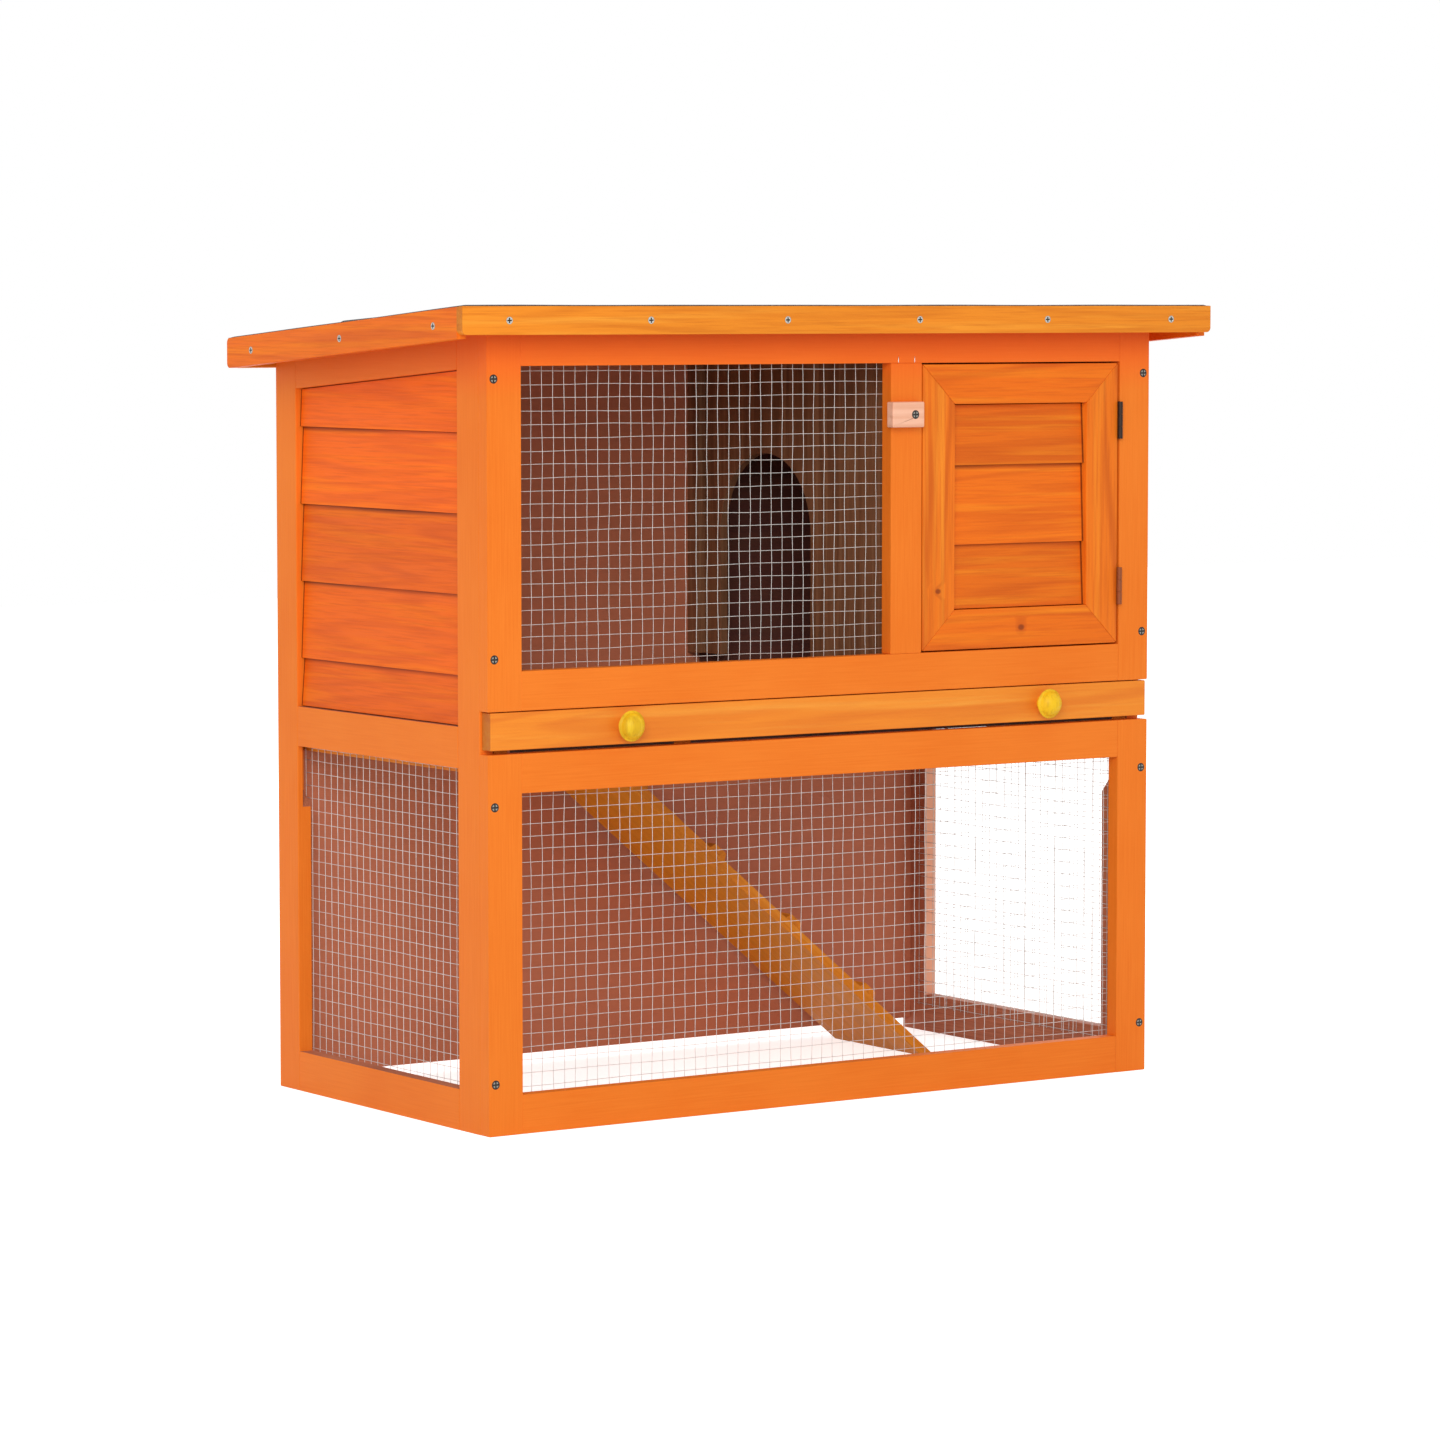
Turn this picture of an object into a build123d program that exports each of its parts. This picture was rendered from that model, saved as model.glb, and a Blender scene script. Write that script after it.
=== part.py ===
"""Outdoor rabbit hutch.

A meshed run stands on the ground, with a meshed room and a closed nest box above it.
A ramp climbs from the run through a hole in the tray, an arched doorway joins the two
upper rooms, the nest box has a side-hung door with a turn button, and the metal tray
slides out of the front on a drawer front with two knobs. A shallow pent roof covers it.

Frame: millimetres, +X to the right and +Y to the back as seen from the front, +Z up.
The origin is on the ground under the middle of the roof.
"""
from build123d import *
from math import asin, cos, floor, radians, sin, tan
import os

os.makedirs("parts", exist_ok=True)

# Body and its framed panels
body_width = 800.0
body_depth = 405.0
panel_thickness = 15.0
front_member_width = 38.0
side_member_width = 40.0
lower_panel_height = 366.0
upper_panel_height = 366.0
door_opening_width = 252.0
side_window_height = 310.0
side_top_rail_height = 38.5

# Drawer front between the two front panels
drawer_front_height = 36.0
drawer_gap_below = 4.0
drawer_gap_above = 1.0
drawer_end_clearance = 2.5

# Notch in the inner corner of each side stile, under the middle rail
notch_depth = 9.0
notch_width = 14.0
notch_height = 46.0
notch_slant = 16.0

# Wire nets, stapled behind the openings
net_thickness = 1.2
net_wire_width = 1.6
net_pitch = 28.0
net_overlap = 12.0
net_side_clearance = 2.0
net_stile_inset = 4.0

# Weatherboards of the sides and of the door
board_pitch = 77.5
board_inner_inset = 1.0
board_top_thickness = 5.5
board_bottom_thickness = 9.0
board_edge_gap = 1.0
board_joint_gap = 0.3
side_lowest_board_height = 48.0

# Back
back_thickness = 14.0
back_ground_gap = 12.0
back_groove_pitch = 92.0
back_groove_width = 5.0
back_groove_depth = 2.5

# Roof
roof_slope = 4.1
deck_thickness = 15.0
felt_thickness = 3.0
fascia_thickness = 10.0
front_overhang = 38.0
side_overhang = 50.0
front_fascia_height = 27.0
side_fascia_height = 30.0
fascia_corner_radius = 5.0

# Divider between the two upper rooms
divider_thickness = 9.0
divider_stile_inset = 1.0
divider_bottom_gap = 19.0
divider_batten_width = 19.0
divider_batten_thickness = 10.0
divider_front_gap = 0.5
doorway_width = 164.0
doorway_height = 214.0
doorway_back_margin = 48.0

# Battens that carry the tray
runner_thickness = 15.0
runner_height = 25.0
runner_tray_gap = 0.5
bearer_from_side = 207.0
bearer_width = 20.0

# Tray
tray_sheet = 1.2
tray_rim_height = 24.0
tray_side_clearance = 2.0
tray_back_clearance = 3.0
ramp_hole_length = 200.0
ramp_hole_margin = 8.0
ramp_hole_start = 4.0
ramp_hole_rim_height = 22.0

# Ramp
ramp_slope = 39.7
ramp_width = 159.0
ramp_thickness = 10.0
ramp_back_margin = 21.0
ramp_end_gap = 5.0
cleat_width = 25.0
cleat_height = 8.0
cleat_inset = 3.0
cleat_pitch = 123.5
first_cleat_distance = 86.5

# Ramp hinges
ramp_knuckle_radius = 2.5
ramp_pin_radius = 1.2
ramp_leaf_thickness = 1.0
ramp_leaf_length = 22.0
ramp_hinge_width = 30.0
ramp_hinge_inset = 18.0
ramp_hinge_drop = 4.6

# Door
door_latch_gap = 1.5
door_hinge_gap = 2.6
door_height_clearance = 1.5
door_member_width = 40.0
door_board_pitch = 80.0
door_lowest_board_height = 64.5

# Door hinges
hinge_height = 38.0
hinge_leaf_thickness = 1.0
hinge_leaf_depth = 13.0
hinge_knuckle_radius = 2.6
hinge_pin_radius = 1.5
hinge_end_inset = 60.0
hinge_joint_gap = 0.4

# Turn button
latch_length = 39.0
latch_height = 25.4
latch_thickness = 11.0
latch_pivot_inset = 11.4
latch_pivot_from_door_edge = 17.6
latch_drop_from_opening_top = 51.0
latch_face_gap = 0.5
latch_corner_radius = 1.5

# Screws and staples
pin_clearance = 0.05
screw_proud = 0.3
screw_recess_depth = 1.2
screw_recess_width = 0.9
panel_screw_head_radius = 3.8
panel_screw_shank_radius = 2.0
panel_screw_length = 40.0
panel_screw_edge_inset = 7.5
panel_screw_end_inset = 50.0
fascia_screw_head_radius = 2.8
fascia_screw_shank_radius = 1.5
fascia_screw_length = 25.0
fascia_screw_side_inset = 52.0
fascia_screw_count = 6
side_fascia_screw_end_inset = 49.0
side_fascia_screw_count = 3
staple_length = 12.0
staple_wire = 1.0
staple_inset = 9.0
staple_proud = 0.4
staple_bite = 4.0

# Drawer knobs
knob_radius = 15.0
knob_neck_radius = 8.5
knob_height = 22.0
knob_neck_height = 4.0
knob_rim_height = 12.5
knob_rim_bevel = 2.0
left_knob_inset = 156.5
right_knob_inset = 135.0

# Planes and lines that the pieces share
rear_overhang = fascia_thickness
front_y = -(body_depth + rear_overhang - front_overhang - screw_proud) / 2
back_y = front_y + body_depth
panel_back_y = front_y + panel_thickness
back_inner_y = back_y - back_thickness
left_x = -body_width / 2
right_x = body_width / 2
inner_left_x = left_x + panel_thickness
inner_right_x = right_x - panel_thickness
drawer_low_z = lower_panel_height + drawer_gap_below
drawer_high_z = drawer_low_z + drawer_front_height
upper_low_z = drawer_high_z + drawer_gap_above
upper_high_z = upper_low_z + upper_panel_height
opening_low_z = upper_low_z + front_member_width
opening_high_z = upper_high_z - front_member_width
door_opening_right_x = right_x - front_member_width
door_opening_left_x = door_opening_right_x - door_opening_width
mid_stile_left_x = door_opening_left_x - front_member_width
window_left_x = left_x + front_member_width
side_front_y = panel_back_y + side_member_width
side_rear_y = back_y - side_member_width
mid_rail_low_z = side_member_width + side_window_height
mid_rail_high_z = mid_rail_low_z + side_member_width
tray_low_z = lower_panel_height + drawer_gap_below - runner_tray_gap
runner_high_z = tray_low_z - runner_tray_gap
runner_low_z = runner_high_z - runner_height


def roof_underside(y):
    """Height of the roof's underside; it rests on the rear top edge of the front panel."""
    return upper_high_z + (panel_back_y - y) * tan(radians(roof_slope))


def deck_top(y):
    """Height of the upper face of the roof deck."""
    return roof_underside(y) + deck_thickness / cos(radians(roof_slope))


def finish(piece, label):
    """Names a finished piece and writes it."""
    piece.part.label = label
    export_step(piece.part, f"parts/{label}.step")


def block(label, low, high):
    """A straight-sided piece between two opposite corners."""
    with BuildPart() as piece:
        with BuildSketch(Plane.XY.offset(low[2])):
            with Locations(((low[0] + high[0]) / 2, (low[1] + high[1]) / 2)):
                Rectangle(high[0] - low[0], high[1] - low[1])
        extrude(amount=high[2] - low[2])
    finish(piece, label)


def side_prism(label, x, thickness, outline):
    """A piece with a (y, z) outline, from x along +X."""
    with BuildPart() as piece:
        with BuildSketch(Plane.YZ.offset(x)):
            with BuildLine():
                Polyline(*outline, close=True)
            make_face()
        extrude(amount=thickness)
    finish(piece, label)


def front_prism(label, y, thickness, outline):
    """A piece with an (x, z) outline, from y along +Y."""
    with BuildPart() as piece:
        with BuildSketch(Plane.XZ.offset(-y)):
            with BuildLine():
                Polyline(*outline, close=True)
            make_face()
        extrude(amount=-thickness)
    finish(piece, label)


def front_panel_member(label, x_low, x_high, z_low, z_high):
    """A stile or rail of a front panel."""
    block(label, (x_low, front_y, z_low), (x_high, panel_back_y, z_high))


def net_holes(width, height):
    """The square gaps of a net of this size, centred, in the open sketch."""
    columns = max(1, floor(width / net_pitch))
    rows = max(1, floor(height / net_pitch))
    gap_width = (width - net_wire_width) / columns - net_wire_width
    gap_height = (height - net_wire_width) / rows - net_wire_width
    with GridLocations(gap_width + net_wire_width, gap_height + net_wire_width, columns, rows):
        Rectangle(gap_width, gap_height, mode=Mode.SUBTRACT)


def front_net(label, x_low, x_high, z_low, z_high):
    """A flat net on the inner face of a front panel."""
    plane = Plane.XZ.offset(-panel_back_y)
    plane.origin = (x_low + x_high) / 2, panel_back_y, (z_low + z_high) / 2
    with BuildPart() as net:
        with BuildSketch(plane):
            Rectangle(x_high - x_low, z_high - z_low)
            net_holes(x_high - x_low, z_high - z_low)
        extrude(amount=-net_thickness)
    finish(net, label)


def add_screws(plane, places, head_radius, shank_radius, length):
    """Countersunk cross-recess screws at (x, y) places of a plane, heads along its normal."""
    top = (Align.CENTER, Align.CENTER, Align.MAX)
    for x, y in places:
        with Locations(plane.location * Location((x, y, screw_proud))):
            Cylinder(shank_radius, length, align=top)
            Cone(shank_radius, head_radius, head_radius - shank_radius, align=top)
            Box(head_radius * 1.3, screw_recess_width, screw_recess_depth, align=top, mode=Mode.SUBTRACT)
            Box(screw_recess_width, head_radius * 1.3, screw_recess_depth, align=top, mode=Mode.SUBTRACT)


# Lower front panel: two full-height stiles with two rails between them
front_panel_member("lower_left_stile", left_x, window_left_x, 0, lower_panel_height)
front_panel_member("lower_right_stile", door_opening_right_x, right_x, 0, lower_panel_height)
front_panel_member("lower_bottom_rail", window_left_x, door_opening_right_x, 0, front_member_width)
lower_window_high_z = lower_panel_height - front_member_width
front_panel_member(
    "lower_top_rail", window_left_x, door_opening_right_x, lower_window_high_z, lower_panel_height
)
front_net(
    "lower_front_net",
    inner_left_x + net_side_clearance, inner_right_x - net_side_clearance,
    front_member_width - net_overlap, lower_window_high_z + net_overlap,
)

# Upper front panel: the same, with a middle stile beside the door opening
front_panel_member("upper_left_stile", left_x, window_left_x, upper_low_z, upper_high_z)
front_panel_member("upper_right_stile", door_opening_right_x, right_x, upper_low_z, upper_high_z)
front_panel_member(
    "upper_mid_stile", mid_stile_left_x, door_opening_left_x, opening_low_z, opening_high_z
)
front_panel_member(
    "upper_bottom_rail", window_left_x, door_opening_right_x, upper_low_z, opening_low_z
)
front_panel_member(
    "upper_top_rail", window_left_x, door_opening_right_x, opening_high_z, upper_high_z
)
divider_right_x = mid_stile_left_x + front_member_width - divider_stile_inset
divider_left_x = divider_right_x - divider_thickness
front_net(
    "upper_front_net",
    inner_left_x + net_side_clearance, door_opening_left_x - net_stile_inset,
    opening_low_z - net_overlap, opening_high_z + net_overlap,
)


def top_rail_low(y):
    """Height of the lower edge of a side's top rail."""
    return roof_underside(y) - side_top_rail_height


def side_stile(label, x, notch_x, outer_y, window_y):
    """A stile of a side, with the notch in its inner corner under the middle rail."""
    inward = 1 if outer_y > window_y else -1
    with BuildPart() as stile:
        with BuildSketch(Plane.YZ.offset(x)):
            with BuildLine():
                Polyline(
                    (outer_y, 0), (window_y, 0),
                    (window_y, roof_underside(window_y)), (outer_y, roof_underside(outer_y)),
                    close=True,
                )
            make_face()
        extrude(amount=panel_thickness)
        with BuildSketch(Plane.YZ.offset(notch_x)):
            with BuildLine():
                Polyline(
                    (window_y, mid_rail_low_z - notch_height - notch_slant),
                    (window_y + inward * notch_width, mid_rail_low_z - notch_height),
                    (window_y + inward * notch_width, mid_rail_low_z),
                    (window_y, mid_rail_low_z),
                    close=True,
                )
            make_face()
        extrude(amount=notch_depth, mode=Mode.SUBTRACT)
    finish(stile, label)


def weatherboards(inner_x, outward, y_low, y_high, z_low, cut_plane, joints):
    """Lapped side boards in the open part, each thicker at its lower edge."""
    levels = [z_low] + joints
    for board_low, board_high in zip(levels, levels[1:]):
        with BuildSketch(Plane.XZ.offset(-y_high)) as profile:
            with BuildLine():
                Polyline(
                    (inner_x, board_low), (inner_x, board_high - board_joint_gap),
                    (inner_x + outward * board_top_thickness, board_high - board_joint_gap),
                    (inner_x + outward * board_bottom_thickness, board_low),
                    close=True,
                )
            make_face()
        extrude(profile.sketch, amount=y_high - y_low)
    split(bisect_by=cut_plane, keep=Keep.BOTTOM)


def side_net(label, x):
    """A flat net on the inner face of a side, behind its lower window."""
    y_low, y_high = side_front_y - net_overlap, side_rear_y + net_overlap
    z_low, z_high = side_member_width - net_overlap, mid_rail_low_z + net_overlap
    plane = Plane.YZ.offset(x)
    plane.origin = x, (y_low + y_high) / 2, (z_low + z_high) / 2
    with BuildPart() as net:
        with BuildSketch(plane):
            Rectangle(y_high - y_low, z_high - z_low)
            net_holes(y_high - y_low, z_high - z_low)
        extrude(amount=net_thickness)
    finish(net, label)


# Sides: a sloped frame with a net below and lapped boards above
side_boards_low_z = mid_rail_high_z + board_edge_gap
side_boards_high_z = roof_underside(side_front_y)
side_joints = [side_boards_low_z + side_lowest_board_height]
while side_joints[-1] < side_boards_high_z:
    side_joints.append(side_joints[-1] + board_pitch)
boards_cut_plane = Plane(
    origin=(0, panel_back_y, top_rail_low(panel_back_y) - board_edge_gap),
    x_dir=(1, 0, 0),
    z_dir=(0, sin(radians(roof_slope)), cos(radians(roof_slope))),
)
for side, x, outward in (("left", left_x, -1), ("right", inner_right_x, 1)):
    inner_x = inner_left_x if side == "left" else inner_right_x
    notch_x = inner_x - notch_depth if side == "left" else inner_x
    side_stile(f"{side}_front_stile", x, notch_x, panel_back_y, side_front_y)
    side_stile(f"{side}_rear_stile", x, notch_x, back_y, side_rear_y)
    block(
        f"{side}_bottom_rail",
        (x, side_front_y, 0), (x + panel_thickness, side_rear_y, side_member_width),
    )
    block(
        f"{side}_mid_rail",
        (x, side_front_y, mid_rail_low_z), (x + panel_thickness, side_rear_y, mid_rail_high_z),
    )
    side_prism(
        f"{side}_top_rail", x, panel_thickness,
        [
            (side_front_y, top_rail_low(side_front_y)), (side_rear_y, top_rail_low(side_rear_y)),
            (side_rear_y, roof_underside(side_rear_y)), (side_front_y, roof_underside(side_front_y)),
        ],
    )
    with BuildPart() as boards:
        weatherboards(
            inner_x + outward * board_inner_inset, outward,
            side_front_y, side_rear_y,
            side_boards_low_z, boards_cut_plane, side_joints,
        )
    finish(boards, f"{side}_weatherboards")
    side_net(f"{side}_side_net", inner_left_x if side == "left" else inner_right_x - net_thickness)

# Back: one wall of grooved boards between the sides
with BuildPart() as back_wall:
    with BuildSketch(Plane.YZ.offset(inner_left_x)):
        with BuildLine():
            Polyline(
                (back_inner_y, back_ground_gap), (back_y, back_ground_gap),
                (back_y, roof_underside(back_y)), (back_inner_y, roof_underside(back_inner_y)),
                close=True,
            )
        make_face()
    extrude(amount=inner_right_x - inner_left_x)
    groove_count = floor((roof_underside(back_y) - back_ground_gap) / back_groove_pitch)
    with BuildSketch(Plane.YZ.offset(inner_left_x)):
        for number in range(1, groove_count + 1):
            groove_z = back_ground_gap + number * back_groove_pitch
            with BuildLine():
                Polyline(
                    (back_y, groove_z - back_groove_width / 2),
                    (back_y - back_groove_depth, groove_z),
                    (back_y, groove_z + back_groove_width / 2),
                    close=True,
                )
            make_face()
    extrude(amount=inner_right_x - inner_left_x, mode=Mode.SUBTRACT)
finish(back_wall, "back_wall")

# Battens under the tray: one along each side, one across at the head of the ramp
runner_start = panel_thickness + net_thickness
bearer_left_x = inner_left_x + bearer_from_side
bearer_right_x = bearer_left_x + bearer_width
block(
    "left_runner",
    (left_x + runner_start, panel_back_y, runner_low_z),
    (left_x + runner_start + runner_thickness, back_inner_y, runner_high_z),
)
block(
    "right_runner",
    (right_x - runner_start - runner_thickness, panel_back_y, runner_low_z),
    (right_x - runner_start, back_inner_y, runner_high_z),
)
block(
    "ramp_bearer",
    (bearer_left_x, panel_back_y, runner_low_z), (bearer_right_x, back_inner_y, runner_high_z),
)

# Divider: a board with an arched doorway open at the bottom, and a batten at each end
divider_front_y = panel_back_y + net_thickness + divider_front_gap
divider_low_z = drawer_high_z + divider_bottom_gap
doorway_back_y = back_inner_y - doorway_back_margin
doorway_y = doorway_back_y - doorway_width / 2
with BuildPart() as divider_board:
    with BuildSketch(Plane.YZ.offset(divider_left_x)):
        with BuildLine():
            Polyline(
                (divider_front_y, divider_low_z), (back_inner_y, divider_low_z),
                (back_inner_y, roof_underside(back_inner_y)),
                (divider_front_y, roof_underside(divider_front_y)),
                close=True,
            )
        make_face()
        arch_spring_z = divider_low_z + doorway_height - doorway_width / 2
        with Locations((doorway_y, arch_spring_z)):
            Circle(doorway_width / 2, mode=Mode.SUBTRACT)
        with Locations((doorway_y, (divider_low_z + arch_spring_z) / 2)):
            Rectangle(doorway_width, arch_spring_z - divider_low_z, mode=Mode.SUBTRACT)
    extrude(amount=divider_thickness)
finish(divider_board, "divider_board")

with BuildPart() as divider_battens:
    with BuildSketch(Plane.YZ.offset(divider_left_x - divider_batten_thickness)):
        for batten_y in (divider_front_y, back_inner_y - divider_batten_width):
            with BuildLine():
                Polyline(
                    (batten_y, divider_low_z), (batten_y + divider_batten_width, divider_low_z),
                    (batten_y + divider_batten_width, roof_underside(batten_y + divider_batten_width)),
                    (batten_y, roof_underside(batten_y)),
                    close=True,
                )
            make_face()
    extrude(amount=divider_batten_thickness)
finish(divider_battens, "divider_battens")

# Roof: deck, four fascias and a felt that covers them all
roof_front_y = front_y - front_overhang
roof_back_y = back_y + rear_overhang
roof_left_x = left_x - side_overhang
roof_right_x = right_x + side_overhang
deck_front_y = roof_front_y + fascia_thickness
deck_left_x = roof_left_x + fascia_thickness
deck_width = roof_right_x - roof_left_x - 2 * fascia_thickness
side_prism(
    "roof_deck", deck_left_x, deck_width,
    [
        (deck_front_y, roof_underside(deck_front_y)), (back_y, roof_underside(back_y)),
        (back_y, deck_top(back_y)), (deck_front_y, deck_top(deck_front_y)),
    ],
)
side_prism(
    "roof_felt", roof_left_x, roof_right_x - roof_left_x,
    [
        (roof_front_y, deck_top(roof_front_y)), (roof_back_y, deck_top(roof_back_y)),
        (roof_back_y, deck_top(roof_back_y) + felt_thickness),
        (roof_front_y, deck_top(roof_front_y) + felt_thickness),
    ],
)

with BuildPart() as front_fascia:
    with BuildSketch(Plane.YZ.offset(roof_left_x)):
        with BuildLine():
            Polyline(
                (roof_front_y, deck_top(roof_front_y) - front_fascia_height),
                (deck_front_y, deck_top(roof_front_y) - front_fascia_height),
                (deck_front_y, deck_top(deck_front_y)), (roof_front_y, deck_top(roof_front_y)),
                close=True,
            )
        make_face()
    extrude(amount=roof_right_x - roof_left_x)
    fillet(
        front_fascia.edges().filter_by(Axis.Y).group_by(Axis.Z)[0],
        radius=min(fascia_corner_radius, front_fascia_height / 3),
    )
finish(front_fascia, "front_fascia")

for side, x in (("left", roof_left_x), ("right", roof_right_x - fascia_thickness)):
    with BuildPart() as side_fascia:
        with BuildSketch(Plane.YZ.offset(x)):
            with BuildLine():
                Polyline(
                    (deck_front_y, deck_top(deck_front_y) - side_fascia_height),
                    (roof_back_y, deck_top(roof_back_y) - side_fascia_height),
                    (roof_back_y, deck_top(roof_back_y)), (deck_front_y, deck_top(deck_front_y)),
                    close=True,
                )
            make_face()
        extrude(amount=fascia_thickness)
        fillet(
            side_fascia.edges().filter_by(Axis.X).group_by(Axis.Y)[-1],
            radius=min(fascia_corner_radius, side_fascia_height / 3),
        )
    finish(side_fascia, f"{side}_fascia")

side_prism(
    "rear_fascia", deck_left_x, deck_width,
    [
        (back_y, deck_top(back_y) - side_fascia_height),
        (roof_back_y, deck_top(roof_back_y) - side_fascia_height),
        (roof_back_y, deck_top(roof_back_y)), (back_y, deck_top(back_y)),
    ],
)

# Screws through the front panels into the edges of the sides
with BuildPart() as panel_screws:
    add_screws(
        Plane.XZ.offset(-front_y),
        [
            (x, z)
            for x in (left_x + panel_screw_edge_inset, right_x - panel_screw_edge_inset)
            for z in (
                panel_screw_end_inset, lower_panel_height - panel_screw_end_inset,
                upper_low_z + panel_screw_end_inset, upper_high_z - panel_screw_end_inset,
            )
        ],
        panel_screw_head_radius, panel_screw_shank_radius, panel_screw_length,
    )
finish(panel_screws, "panel_screws")

# Screws through the fascias into the roof deck
side_screw_span = roof_back_y - side_fascia_screw_end_inset - panel_back_y
side_screw_step = side_screw_span / (side_fascia_screw_count - 1)
side_screw_ys = [panel_back_y + side_screw_step * number for number in range(side_fascia_screw_count)]
front_screw_span = roof_right_x - roof_left_x - 2 * fascia_screw_side_inset
front_screw_step = front_screw_span / (fascia_screw_count - 1)
front_screw_z = deck_top(roof_front_y) - front_fascia_height / 2
with BuildPart() as fascia_screws:
    add_screws(
        Plane.YZ.offset(roof_right_x),
        [(y, deck_top(y) - side_fascia_height / 2) for y in side_screw_ys],
        fascia_screw_head_radius, fascia_screw_shank_radius, fascia_screw_length,
    )
    mirror(about=Plane.YZ)
    add_screws(
        Plane.XZ.offset(-roof_front_y),
        [
            (-front_screw_span / 2 + front_screw_step * number, front_screw_z)
            for number in range(fascia_screw_count)
        ],
        fascia_screw_head_radius, fascia_screw_shank_radius, fascia_screw_length,
    )
finish(fascia_screws, "fascia_screws")

# Two staples in the top rail over the middle stile
staple_z = opening_high_z + staple_length / 2 + staple_proud
with BuildPart() as rail_staples:
    for staple_x in (mid_stile_left_x + staple_inset, door_opening_left_x - staple_inset):
        with Locations((staple_x, front_y - staple_proud + staple_bite / 2, staple_z)):
            Box(staple_wire, staple_bite, staple_length)
finish(rail_staples, "rail_staples")

# Door: four mitred members round three lapped boards
door_right_x = door_opening_right_x - door_hinge_gap
door_left_x = door_opening_left_x + door_latch_gap
door_low_z = opening_low_z + door_height_clearance
door_high_z = opening_high_z - door_height_clearance
panel_left_x = door_left_x + door_member_width
panel_right_x = door_right_x - door_member_width
panel_low_z = door_low_z + door_member_width
panel_high_z = door_high_z - door_member_width
front_prism(
    "door_left_stile", front_y, panel_thickness,
    [
        (door_left_x, door_low_z), (panel_left_x, panel_low_z),
        (panel_left_x, panel_high_z), (door_left_x, door_high_z),
    ],
)
front_prism(
    "door_right_stile", front_y, panel_thickness,
    [
        (door_right_x, door_low_z), (door_right_x, door_high_z),
        (panel_right_x, panel_high_z), (panel_right_x, panel_low_z),
    ],
)
front_prism(
    "door_bottom_rail", front_y, panel_thickness,
    [
        (door_left_x, door_low_z), (door_right_x, door_low_z),
        (panel_right_x, panel_low_z), (panel_left_x, panel_low_z),
    ],
)
front_prism(
    "door_top_rail", front_y, panel_thickness,
    [
        (panel_left_x, panel_high_z), (panel_right_x, panel_high_z),
        (door_right_x, door_high_z), (door_left_x, door_high_z),
    ],
)

door_boards_low_z = panel_low_z + board_edge_gap
door_boards_back_y = panel_back_y - board_inner_inset
door_joints = [door_boards_low_z, door_boards_low_z + door_lowest_board_height]
while door_joints[-1] + door_board_pitch < panel_high_z - board_edge_gap:
    door_joints.append(door_joints[-1] + door_board_pitch)
door_joints.append(panel_high_z - board_edge_gap + board_joint_gap)
with BuildPart() as door_boards:
    for board_low, board_high in zip(door_joints, door_joints[1:]):
        with BuildSketch(Plane.YZ.offset(panel_left_x)):
            with BuildLine():
                Polyline(
                    (door_boards_back_y, board_low), (door_boards_back_y, board_high - board_joint_gap),
                    (door_boards_back_y - board_top_thickness, board_high - board_joint_gap),
                    (door_boards_back_y - board_bottom_thickness, board_low),
                    close=True,
                )
            make_face()
        extrude(amount=panel_right_x - panel_left_x)
finish(door_boards, "door_boards")

# Door hinges: the frame side carries the pin and the outer knuckles
hinge_x = door_opening_right_x - door_hinge_gap / 2
hinge_y = front_y - hinge_knuckle_radius
knuckle_height = hinge_height / 3
above = (Align.CENTER, Align.CENTER, Align.MIN)


def hinge_leaf(x, z):
    """A hinge leaf in the gap beside the door, from the pin's line back into the panel."""
    with Locations((x, hinge_y + (hinge_leaf_depth + hinge_knuckle_radius) / 2, z)):
        Box(
            hinge_leaf_thickness, hinge_leaf_depth + hinge_knuckle_radius, hinge_height,
            align=above,
        )


def door_hinge(name, z):
    """A butt hinge with its lower end at z: a frame leaf with the pin, and a door leaf."""
    with BuildPart() as frame_leaf:
        hinge_leaf(door_opening_right_x - hinge_leaf_thickness / 2, z)
        with Locations((hinge_x, hinge_y, z + knuckle_height - hinge_joint_gap)):
            Cylinder(
                hinge_knuckle_radius + pin_clearance, knuckle_height + 2 * hinge_joint_gap,
                align=above, mode=Mode.SUBTRACT,
            )
        with Locations((hinge_x, hinge_y, z), (hinge_x, hinge_y, z + 2 * knuckle_height)):
            Cylinder(hinge_knuckle_radius, knuckle_height, align=above)
        with Locations((hinge_x, hinge_y, z)):
            Cylinder(hinge_pin_radius, hinge_height, align=above)
    finish(frame_leaf, f"{name}_hinge_frame_leaf")
    with BuildPart() as door_leaf:
        hinge_leaf(door_right_x + hinge_leaf_thickness / 2, z)
        with Locations(
            (hinge_x, hinge_y, z - hinge_joint_gap),
            (hinge_x, hinge_y, z + 2 * knuckle_height - hinge_joint_gap),
        ):
            Cylinder(
                hinge_knuckle_radius + hinge_joint_gap, knuckle_height + 2 * hinge_joint_gap,
                align=above, mode=Mode.SUBTRACT,
            )
        with Locations((hinge_x, hinge_y, z + knuckle_height + hinge_joint_gap)):
            Cylinder(hinge_knuckle_radius, knuckle_height - 2 * hinge_joint_gap, align=above)
        with Locations((hinge_x, hinge_y, z)):
            Cylinder(
                hinge_pin_radius + pin_clearance, hinge_height, align=above, mode=Mode.SUBTRACT
            )
    finish(door_leaf, f"{name}_hinge_door_leaf")


door_hinge("lower", opening_low_z + hinge_end_inset - hinge_height / 2)
door_hinge("upper", opening_high_z - hinge_end_inset - hinge_height / 2)

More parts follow.
